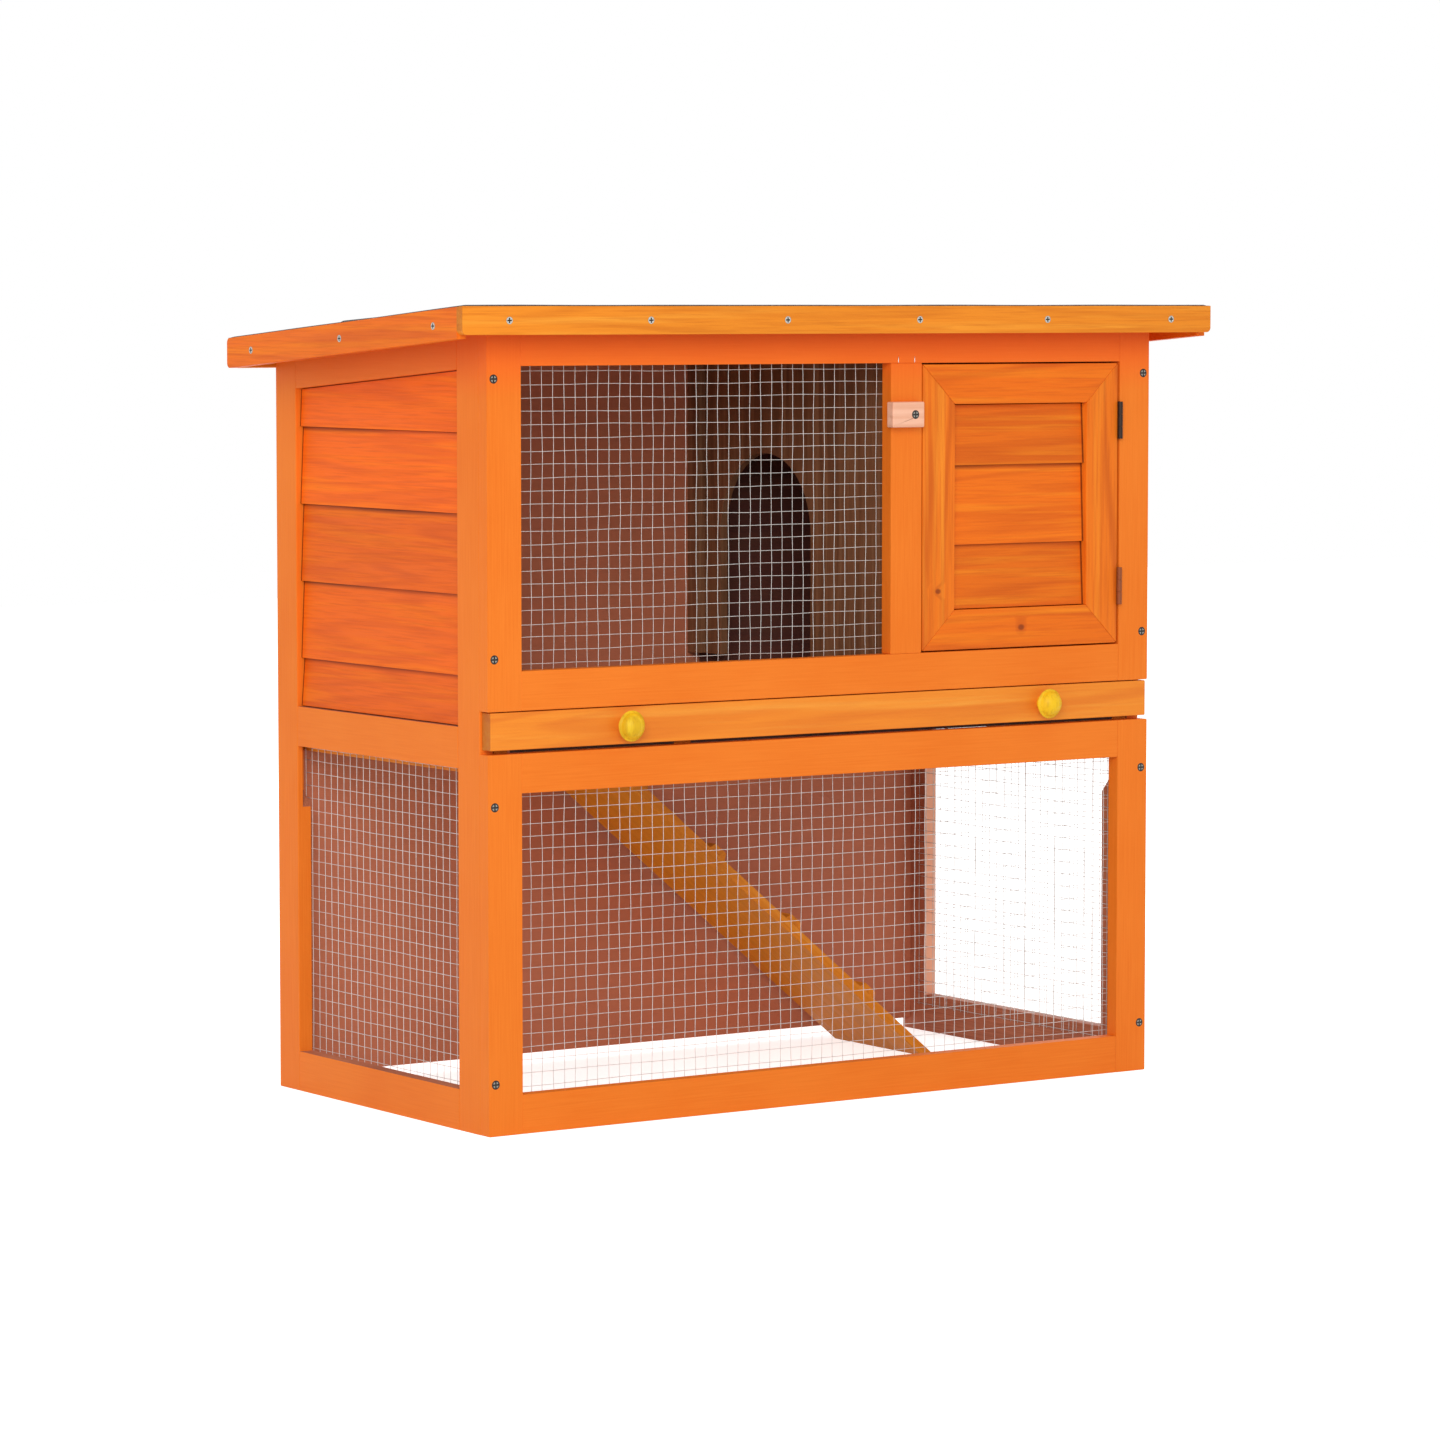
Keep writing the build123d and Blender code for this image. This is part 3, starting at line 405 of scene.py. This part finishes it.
def straight_wires(starts, run, aside, radius, bow, steps=26, sides=5):
    """Parallel round wires. Wire i at t is start_i + t run, pushed along aside by bow times two sines of t
    with a phase of their own, and a circle of the radius is carried along it. Both ends are closed."""
    along = np.linspace(0, 1, steps)
    phases = wire_lot.uniform(0, math.tau, (len(starts), 2, 1))
    push = np.sin(math.tau * 2.0 * along + phases[:, 0]) + 0.6 * np.sin(math.tau * 5.0 * along + phases[:, 1])
    centres = starts[:, None] + along[None, :, None] * run + bow * push[:, :, None] * aside
    across = np.cross(run, aside)
    across = across / np.linalg.norm(across)
    angles = np.arange(sides) * math.tau / sides
    circle = radius * (np.cos(angles)[:, None] * aside + np.sin(angles)[:, None] * across)
    points = (centres[:, :, None] + circle).reshape(-1, 3)
    wire, step, side = np.meshgrid(
        np.arange(len(starts)), np.arange(steps - 1), np.arange(sides), indexing="ij"
    )
    first = (wire * steps + step) * sides
    turned = (side + 1) % sides
    walls = np.stack([first + side, first + turned, first + sides + turned, first + sides + side], axis=-1)
    begin = np.arange(len(starts))[:, None] * steps * sides + np.arange(sides)
    end = begin + (steps - 1) * sides
    return points, walls.reshape(-1, 4).tolist() + begin[:, ::-1].tolist() + end.tolist()


def welded_net(node_name, outward, bow):
    """Wires at the real pitch over a CAD net's box, uprights on the outward side of the level wires."""
    low, high = (np.array(corner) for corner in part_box(node_name))
    outward = np.array(outward, dtype=float)
    up = np.array((0.0, 0.0, 1.0))
    across = np.abs(np.cross(up, outward))
    face = np.where(outward > 0, high, low) * np.abs(outward)
    width, height = (high - low) @ across, (high - low) @ up
    origin = face + low * across + low * up
    points, faces = [], []
    for spread, run, span, length, depth in (
        (across, up, width, height, wire_radius), (up, across, height, width, wire_radius + layer_step),
    ):
        count = int((span - 2 * wire_radius) / wire_pitch)
        margin = (span - count * wire_pitch) / 2
        places = margin + np.arange(count + 1) * wire_pitch
        starts = origin - outward * depth + places[:, None] * spread
        wires, walls = straight_wires(starts, run * length, spread, wire_radius, bow)
        offset = sum(len(part) for part in points)
        faces += [[corner + offset for corner in wall] for wall in walls]
        points.append(wires)
    net = new_piece(
        node_name + "_wires", np.concatenate(points).tolist(), faces, "hutch", net_zinc
    )
    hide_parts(node_name)


net_zinc = zinc("galvanised_wire", "#D8D4D0", 0.08, 260.0, 0.5, 0.3)
welded_net("lower_front_net", (0, -1, 0), front_wire_bow)
welded_net("upper_front_net", (0, -1, 0), front_wire_bow)
welded_net("left_side_net", (-1, 0, 0), side_wire_bow)
welded_net("right_side_net", (1, 0, 0), side_wire_bow)


# Divider
# An upright softwood board between two battens, with an arched doorway sawn through it to the sleeping
# room. Its dark brown stain was brushed on, so the lighter fibres still show.

divider_tones = ("#A87A58", "#8A5E40", "#64402A")
dress(
    ["divider_board", "divider_battens"],
    stained_pine("divider_stain", "z", divider_tones, 0.4, 0.4), sawn_arris,
)


# Ramp and drawer runners
# Pine strips and a ramp board with cross cleats, in an ochre stain. The ramp's grain runs up its slope,
# and its underside is painted brighter, as painted light.

ramp_tones = ("#F29C34", "#E2841E", "#B86612")
ramp_slope = math.radians(39.7)
dress(
    ["left_runner", "right_runner"], stained_pine("runner_stain", "y", ramp_tones, 0.4, 0.35), sawn_arris
)
dress(["ramp_bearer", "ramp_cleats"], stained_pine("cleat_stain", "y", ramp_tones, 0.4, 0.35), sawn_arris)
ramp_under = (-math.sin(ramp_slope), 0.0, -math.cos(ramp_slope))
# painted_faces: painted light makes the ramp's underside brighter.
dress(
    ["ramp_board"],
    stained_pine(
        "ramp_stain_and_painted_light", "x", ramp_tones, 0.5, 0.35, turn=ramp_slope,
        painted_faces=(ramp_under, "#FFA62C", 0.6, "#FFA62C", 1.0, 1.0),
    ),
    sawn_arris,
)


# Drawer
# A pine front on a folded galvanised steel tray, with two turned knobs in a yellow stain that leaves the
# dark lines of the grain. The tray's edge is folded down behind the front, dark as painted shade in the gap.

drawer_tones = ("#FBA640", "#F48E2A", "#DC6A1E")
# A painted shadow line runs near each end of the drawer front.
dress(
    ["drawer_front"],
    stained_pine("drawer_stain_and_shade_lines", "x", drawer_tones, 0.4, 0.25, rim=("x", 0.0, 0.3994)), planed_arris,
)
tray_zinc = zinc("galvanised_sheet", "#C9CCCC", 0.14, 75.0, 0.34)
dress(["tray"], tray_zinc)


def folded_hem(half_length, front, thickness, top, bottom, material):
    """The tray's edge folded down behind the drawer front: a strip section with a half-circle fold at its
    lower edge, carried straight along the drawer and closed at both ends."""
    radius = thickness / 2
    turn = np.linspace(math.pi, math.tau, 9)[1:-1]
    fold_y = front + radius + radius * np.cos(turn)
    fold_z = bottom + radius + radius * np.sin(turn)
    y = np.concatenate([[front, front], fold_y, [front + thickness] * 2])
    z = np.concatenate([[top, bottom + radius], fold_z, [bottom + radius, top]])
    points = [np.stack([np.full(y.shape, x), y, z], axis=-1) for x in (-half_length, half_length)]
    corner = np.arange(len(y))
    after = (corner + 1) % len(y)
    walls = np.stack([corner, after, after + len(y), corner + len(y)], axis=-1).tolist()
    ends = [corner[::-1].tolist(), (corner + len(y)).tolist()]
    new_piece(
        "tray_front_hem", np.concatenate(points).tolist(), walls + ends, "drawer", material,
        smooth=False,
    )


# The hem's dark colour is painted shade in the gap under the drawer front.
hem_painted_shade_zinc = zinc("hem_painted_shade", "#4E3A2E", 0.1, 75.0, 0.6, 0.2)
hem_half_length, hem_front, hem_thickness = 0.366, -0.1733, 0.0007
hem_top, hem_bottom = 0.3694, 0.36606
folded_hem(hem_half_length, hem_front, hem_thickness, hem_top, hem_bottom, hem_painted_shade_zinc)
knob_tones = ("#FFE034", "#F4C41C", "#A87A10")
dress(["left_knob", "right_knob"], stained_pine("knob_stain", "z", knob_tones, 0.35, 0.35, roughness=0.4))


# Doorway door
# Three lapped boards let into a mitred frame of two stiles and two rails. The orange stain is clear, so
# the knots and ring lines of the pine show through it, with painted shadow lines under the laps and
# where the boards meet the frame.

door_tones = ("#F98C1C", "#EE7210", "#C85208")
door_stile_tones = ("#FA9428", "#F07816", "#C4540A")
door_arris = 0.0014
door_knots = [((0.236, -0.19, 0.4665), 0.0034), ((0.131, -0.19, 0.506), 0.003)]
dress(
    ["door_left_stile", "door_right_stile"],
    stained_pine("door_stile_stain", "z", door_stile_tones, 0.55, 0.4, knots=door_knots[1:]), door_arris,
)
dress(
    ["door_top_rail", "door_bottom_rail"],
    stained_pine("door_rail_stain", "x", door_tones, 0.55, 0.4, knots=door_knots[:1]), door_arris,
)
dress(
    ["door_boards"],
    stained_pine(
        "door_board_stain_and_shade_lines", "x", door_tones, 0.35, 0.4, boards=("z", 0.552, 0.08), rim=("x", 0.2347, 0.0846)
    ),
)


# Door hinges and turn button
# Pressed steel butt hinges, browned by age, the lower one dulled with the door's stain, and a pale offcut
# of pine that turns on one screw.

upper_leaves = ["upper_hinge_frame_leaf", "upper_hinge_door_leaf"]
lower_leaves = ["lower_hinge_frame_leaf", "lower_hinge_door_leaf"]
ramp_leaves = ["ramp_hinge_fixed_leaves", "ramp_hinge_moving_leaves"]
dress(upper_leaves + ramp_leaves, zinc("browned_steel", "#3A2E28", 0.12, 320.0, 0.5))
dress(lower_leaves, zinc("overpainted_steel", "#8E4A26", 0.12, 320.0, 0.6, 0.4))
button_tones = ("#FDD2B8", "#F8C0A2", "#E09C78")
dress(["turn_button"], stained_pine("button_stain", "x", button_tones, 0.4, 0.3), planed_arris)


# Roof
# A softwood deck between four stained fascias, covered with mineral felt. The felt is bitumen under a
# crust of crushed slate, 1 mm grains drawn 1.6 mm wide so that they show, so it is rough and nearly black.

def mineral_felt():
    """Crushed slate on bitumen: each cell of a cell pattern is one grain, with its own grey and dome."""
    material = blank_finish("mineral_felt")
    place = add_node(material, "TexCoord", {})["Object"]
    grains = add_node(material, "TexVoronoi", {"Vector": place, "Scale": 620.0})
    grey = add_node(material, "SeparateColor", {0: grains["Color"]})[0]
    clouds = add_node(material, "TexNoise", {"Vector": place, "Scale": 6.0, "Detail": 4.0})["Fac"]
    shade = add_node(material, "Math", {0: grey, 1: clouds}, operation="MULTIPLY")[0]
    mixed = add_node(material, "MapRange", {0: shade, 1: 0.05, 2: 0.6})[0]
    colour = add_node(
        material, "Mix", {0: mixed, 6: linear("#2A2A2B"), 7: linear("#6E6D69")}, data_type="RGBA"
    )[2]
    dome = add_node(material, "Math", {0: 1.0, 1: grains["Distance"]}, operation="SUBTRACT")[0]
    bump = add_node(material, "Bump", {"Height": dome, "Distance": 0.0007, "Strength": 0.8})[0]
    surface = add_node(
        material, "BsdfPrincipled", {"Base Color": colour, "Roughness": 0.92, "Normal": bump}
    )[0]
    add_node(material, "OutputMaterial", {"Surface": surface})
    return material


fascia_arris = 0.0015
deck_tones = ("#E0A468", "#CC884E", "#A26436")
fascia_tones = ("#F7A234", "#EE8C20", "#CC6A10")
side_fascia_tones = ("#FA881A", "#F2720E", "#CC5208")
dress(["roof_deck"], stained_pine("deck_stain", "x", deck_tones, 0.4, 0.35), sawn_arris)
# A painted shadow line runs near each end of the front fascias.
dress(
    ["front_fascia", "rear_fascia"],
    stained_pine("front_fascia_stain_and_shade_lines", "x", fascia_tones, 0.3, 0.5, rim=("x", 0.0, 0.4521)), fascia_arris,
)
dress(
    ["left_fascia", "right_fascia"],
    stained_pine("side_fascia_stain", "y", side_fascia_tones, 0.4, 0.5), planed_arris,
)


def felt_sheet(name, half_width, front, back, deck_line, thickness, material):
    """The felt as one closed grid. Over the deck's line it is its thickness high, thicker by 1 mm for
    60 mm above the lap, with a soft ripple of two sines, and it thins to 0.2 mm at its cut edges."""
    x, y = np.meshgrid(np.linspace(-half_width, half_width, 181), np.linspace(front, back, 121))
    lap = 0.001 * np.clip((y + 0.06) / 0.06, 0, 1) * (y < 0.004 + 0.001 * np.sin(23 * x))
    ripple = 0.00018 * (np.sin(31 * x + 9 * y) * np.sin(17 * y - 5 * x))
    edge = np.minimum(half_width - np.abs(x), np.minimum(y - front, back - y))
    rounding = np.sqrt(np.clip(1 - (1 - np.clip(edge / 0.0012, 0, 1)) ** 2, 0, 1))
    base = deck_line(y)
    top = base + 0.0002 + (thickness - 0.0002 + lap + ripple) * rounding
    points = np.concatenate([np.stack([x, y, z], axis=-1).reshape(-1, 3) for z in (top, base)])
    rows, columns = x.shape
    row, column = np.meshgrid(np.arange(rows - 1), np.arange(columns - 1), indexing="ij")
    first = (row * columns + column).ravel()
    upper = np.stack([first, first + 1, first + columns + 1, first + columns], axis=-1)
    rim = np.concatenate([
        np.arange(columns), np.arange(1, rows) * columns + columns - 1,
        (rows - 1) * columns + np.arange(columns - 2, -1, -1), np.arange(rows - 2, 0, -1) * columns,
    ])
    after = np.roll(rim, -1)
    below = rows * columns
    side = np.stack([rim, rim + below, after + below, after], axis=-1)
    faces = np.concatenate([upper, upper[:, ::-1] + below, side]).tolist()
    felt = new_piece(name, points.tolist(), faces, "hutch", material)
    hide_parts("roof_felt")


roof_fall = math.radians(4.1)
deck_line_y, deck_line_height = -0.17335, 0.788


def deck_top(y):
    """Height of the deck's upper face, a plane that falls to the rear from its line over the front."""
    return deck_line_height + (deck_line_y - y) * math.tan(roof_fall) + 0.0001


felt_half_width, felt_half_depth, felt_thickness = 0.4492, 0.2256, 0.0014
felt_sheet(
    "felt_sheet", felt_half_width, -felt_half_depth, felt_half_depth, deck_top, felt_thickness,
    mineral_felt(),
)


# Screws, nails and staples
# Countersunk cross-recess screws in zinc plate, each with painted shade in its recess and a painted
# shadow ring round its head, and clout nails with flat galvanised heads that hold down the felt. Two bright
# wire staples are driven nearly flush over the joint of the middle stile and the top rail, so a short
# length of each shows.

head_rings, head_spokes = 12, 40


def fastener_heads(name, centres, outward, radius, height, recess, material, unshaded_share=0.7):
    """Heads as polar grids. A head's height falls with the square of the distance from its middle, and
    a cross of two slots is sunk into it. The attribute painted_shade is 1 in the cross and past the
    unshaded_share of the radius, else 0: painted shade in the recess and a painted shadow ring at the rim."""
    outward = np.array(outward, dtype=float) / np.linalg.norm(outward)
    aside = np.cross(outward, (0.0, 0.0, 1.0)) if abs(outward[2]) < 0.9 else np.array((1.0, 0.0, 0.0))
    aside = aside / np.linalg.norm(aside)
    upward = np.cross(outward, aside)
    reach, angle = np.meshgrid(
        np.linspace(0.04, 1, head_rings), np.arange(head_spokes) * math.tau / head_spokes, indexing="ij"
    )
    u, v = reach * np.cos(angle + 0.3), reach * np.sin(angle + 0.3)
    cross = (np.minimum(abs(u), abs(v)) < 0.2) & (np.maximum(abs(u), abs(v)) < 0.68) & bool(recess)
    lift = 0.00004 + height * (1 - reach ** 2) - recess * cross
    painted_shade = np.maximum(cross, (reach > unshaded_share) * bool(recess)).astype(float)
    head = radius * (u[..., None] * aside + v[..., None] * upward) + lift[..., None] * outward
    centre = outward * (height - recess)
    one = np.concatenate([head.reshape(-1, 3), centre[None]])
    ring, step = np.meshgrid(np.arange(head_rings - 1), np.arange(head_spokes), indexing="ij")
    first, after = ring * head_spokes + step, ring * head_spokes + (step + 1) % head_spokes
    walls = np.stack([first, first + head_spokes, after + head_spokes, after], axis=-1)
    middle = len(one) - 1
    caps = [[middle, corner, (corner + 1) % head_spokes] for corner in range(head_spokes)]
    back = [list(range(middle - 1, middle - 1 - head_spokes, -1))]
    points = (np.array(centres)[:, None] + one).reshape(-1, 3)
    faces = [
        [corner + number * len(one) for corner in face]
        for number in range(len(centres)) for face in walls.reshape(-1, 4).tolist() + caps + back
    ]
    heads = new_piece(name, points.tolist(), faces, "hutch", material)
    tone = np.tile(np.append(painted_shade.ravel(), float(bool(recess))), len(centres))
    heads.data.attributes.new("painted_shade", "FLOAT", "POINT").data.foreach_set("value", tone)
    return heads


def zinc_plate(name, hex_colour, roughness):
    """Bright zinc plate, dulled by fine specks, with painted shade, dark and not metallic, from the attribute
    of that name over it.
    """
    material = blank_finish(name)
    place = add_node(material, "TexCoord", {})["Object"]
    specks = add_node(material, "TexNoise", {"Vector": place, "Scale": 1500.0, "Detail": 2.0})["Fac"]
    painted_shade = add_node(material, "Attribute", {}, attribute_name="painted_shade")["Fac"]
    wear_and_painted_light = add_node(material, "MapRange", {0: specks, 1: 0.3, 2: 0.7, 3: 0.0, 4: 0.35})[0]
    plate = add_node(
        material, "Mix", {0: wear_and_painted_light, 6: linear(hex_colour), 7: linear("#6B6660")}, data_type="RGBA"
    )[2]
    # painted_shade: near black where the attribute marks the recess and the ring round the head.
    colour = add_node(material, "Mix", {0: painted_shade, 6: plate, 7: linear("#0C0704")}, data_type="RGBA")[2]
    shine = add_node(material, "MapRange", {0: painted_shade, 3: 0.6, 4: 0.0})[0]
    surface = add_node(
        material, "BsdfPrincipled", {"Base Color": colour, "Metallic": shine, "Roughness": roughness}
    )[0]
    add_node(material, "OutputMaterial", {"Surface": surface})
    return material


screw_plate = zinc_plate("zinc_plated_screw", "#A6A39A", 0.5)
bright_plate = zinc_plate("bright_zinc_screw", "#D2CFC6", 0.45)
screw_height, screw_recess = 0.00025, 0.0002
panel_screw_radius, fascia_screw_radius = 0.0044, 0.0036
panel_places = [(x, -0.18835, z) for x in (-0.3925, 0.3925) for z in (0.05, 0.316, 0.457, 0.723)]
front_places = [(x, -0.22635, 0.7783) for x in (-0.398, -0.2388, -0.0796, 0.0796, 0.2388, 0.398)]
side_places = [
    (y, deck_line_height - 0.015 + (deck_line_y - y) * math.tan(roof_fall))
    for y in (-0.17335, 0.00215, 0.17765)
]
panel_heads = fastener_heads(
    "panel_screw_heads", panel_places, (0, -1, 0), panel_screw_radius, screw_height, screw_recess, screw_plate
)
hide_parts("panel_screws")
fascia_heads = fastener_heads(
    "front_fascia_screw_heads", front_places, (0, -1, 0), fascia_screw_radius, screw_height, screw_recess,
    bright_plate, 0.92,
)
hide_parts("fascia_screws")
for side, x in (("left", -0.45), ("right", 0.45)):
    fastener_heads(
        side + "_fascia_screw_heads", [(x, y, z) for y, z in side_places], (x, 0, 0), fascia_screw_radius,
        screw_height, screw_recess, bright_plate, 0.92,
    )
button_head = fastener_heads(
    "turn_button_screw_head", [(0.0939, -0.19985, 0.684)], (0, -1, 0), panel_screw_radius, screw_height,
    screw_recess, screw_plate,
)
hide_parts("turn_button_screw")

nail_radius, nail_height = 0.0048, 0.0007
nail_rows = [(x, y) for y in (-0.212, 0.212) for x in np.linspace(-0.43, 0.43, 10)]
nail_rows += [(x, y) for x in (-0.436, 0.436) for y in (-0.13, -0.045, 0.045, 0.13)]
nail_places = [(x, y, deck_top(y) + felt_thickness) for x, y in nail_rows]
fastener_heads(
    "felt_nail_heads", nail_places, (0, math.sin(roof_fall), 1), nail_radius, nail_height, 0.0,
    zinc_plate("galvanised_nail", "#A4A6A6", 0.5),
)

staple_radius, staple_length = 0.00045, 0.006
staple_feet = np.array([(x, -0.18825, 0.7356) for x in (0.081, 0.101)])
staple_points, staple_faces = straight_wires(
    staple_feet, np.array((0.0, 0.0, staple_length)), np.array((1.0, 0.0, 0.0)), staple_radius, 0.0,
    steps=3, sides=8,
)
staples = new_piece(
    "rail_staple_crowns", staple_points.tolist(), staple_faces, "hutch",
    zinc("bright_staple", "#DAD6D0", 0.04, 500.0, 0.3),
)
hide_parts("rail_staples")


# Studio
# A pale paper floor that runs to white, an even surround, a large soft lamp above the front and left, a
# weaker one behind, and the camera at the photograph's place.

floor_half, floor_lift = 8.0, 0.7
floor = bpy.data.objects.new("studio_floor", bpy.data.meshes.new("studio_floor"))
floor.data.from_pydata(
    [(x * floor_half, y * floor_half, 0.0) for x, y in ((-1, -1), (1, -1), (1, 1), (-1, 1))],
    [], [(0, 1, 2, 3)],
)
scene.collection.objects.link(floor)
floor_paper = blank_finish("studio_paper")
rays = add_node(floor_paper, "LightPath", {})
seen = add_node(
    floor_paper, "Math", {0: rays["Is Camera Ray"], 1: rays["Is Glossy Ray"]}, operation="MAXIMUM"
)[0]
tooth = add_node(floor_paper, "TexNoise", {"Scale": 300.0})["Fac"]
paper_bump = add_node(floor_paper, "Bump", {"Height": tooth, "Distance": 0.0001})[0]
paper = add_node(floor_paper, "BsdfDiffuse", {"Color": linear("#E6E6E6"), "Normal": paper_bump})[0]
lift = add_node(floor_paper, "Math", {0: seen, 1: floor_lift}, operation="MULTIPLY")[0]
glow = add_node(floor_paper, "Emission", {"Strength": lift})[0]
floor_surface = add_node(floor_paper, "AddShader", {0: paper, 1: glow})[0]
add_node(floor_paper, "OutputMaterial", {"Surface": floor_surface})
floor.data.materials.append(floor_paper)

world = bpy.data.worlds.new("studio_surround")
scene.world = world
world.use_nodes = True
world.node_tree.nodes.clear()
world_rays = add_node(world, "LightPath", {})
world_seen = add_node(
    world, "Math", {0: world_rays["Is Camera Ray"], 1: world_rays["Is Glossy Ray"]}, operation="MAXIMUM"
)[0]
world_seen = add_node(
    world, "Math", {0: world_seen, 1: world_rays["Is Transmission Ray"]}, operation="MAXIMUM"
)[0]
surround_strength = 0.72
strength = add_node(world, "MapRange", {0: world_seen, 3: surround_strength, 4: 1.0})[0]
sky = add_node(world, "Background", {"Color": (1.0, 1.0, 1.0, 1.0), "Strength": strength})[0]
add_node(world, "OutputWorld", {"Surface": sky})

lamp_places = [("key_lamp", (-2.9, -3.8, 2.2), 2.4, 108.0), ("rear_lamp", (1.5, 2.5, 2.6), 2.0, 40.0)]
for lamp_name, lamp_place, lamp_size, lamp_power in lamp_places:
    lamp_data = bpy.data.lights.new(lamp_name, "AREA")
    lamp_data.shape = "SQUARE"
    lamp_data.size = lamp_size
    lamp_data.energy = lamp_power
    lamp = bpy.data.objects.new(lamp_name, lamp_data)
    scene.collection.objects.link(lamp)
    lamp.location = lamp_place
    away = np.array(lamp_place) - np.array((0.0, 0.0, 0.4))
    lamp.rotation_euler = (
        math.acos(away[2] / np.linalg.norm(away)), 0.0, math.atan2(away[1], away[0]) + math.pi / 2
    )

camera_data = bpy.data.cameras.new("camera")
camera_data.lens = 131.59
camera_data.sensor_width = 36.0
camera = bpy.data.objects.new("camera", camera_data)
scene.collection.objects.link(camera)
camera.location = (-3.0153, -4.4320, 0.7939)
camera.rotation_euler = (math.radians(90 - 4.521), 0.0, math.radians(-34.178))
scene.camera = camera
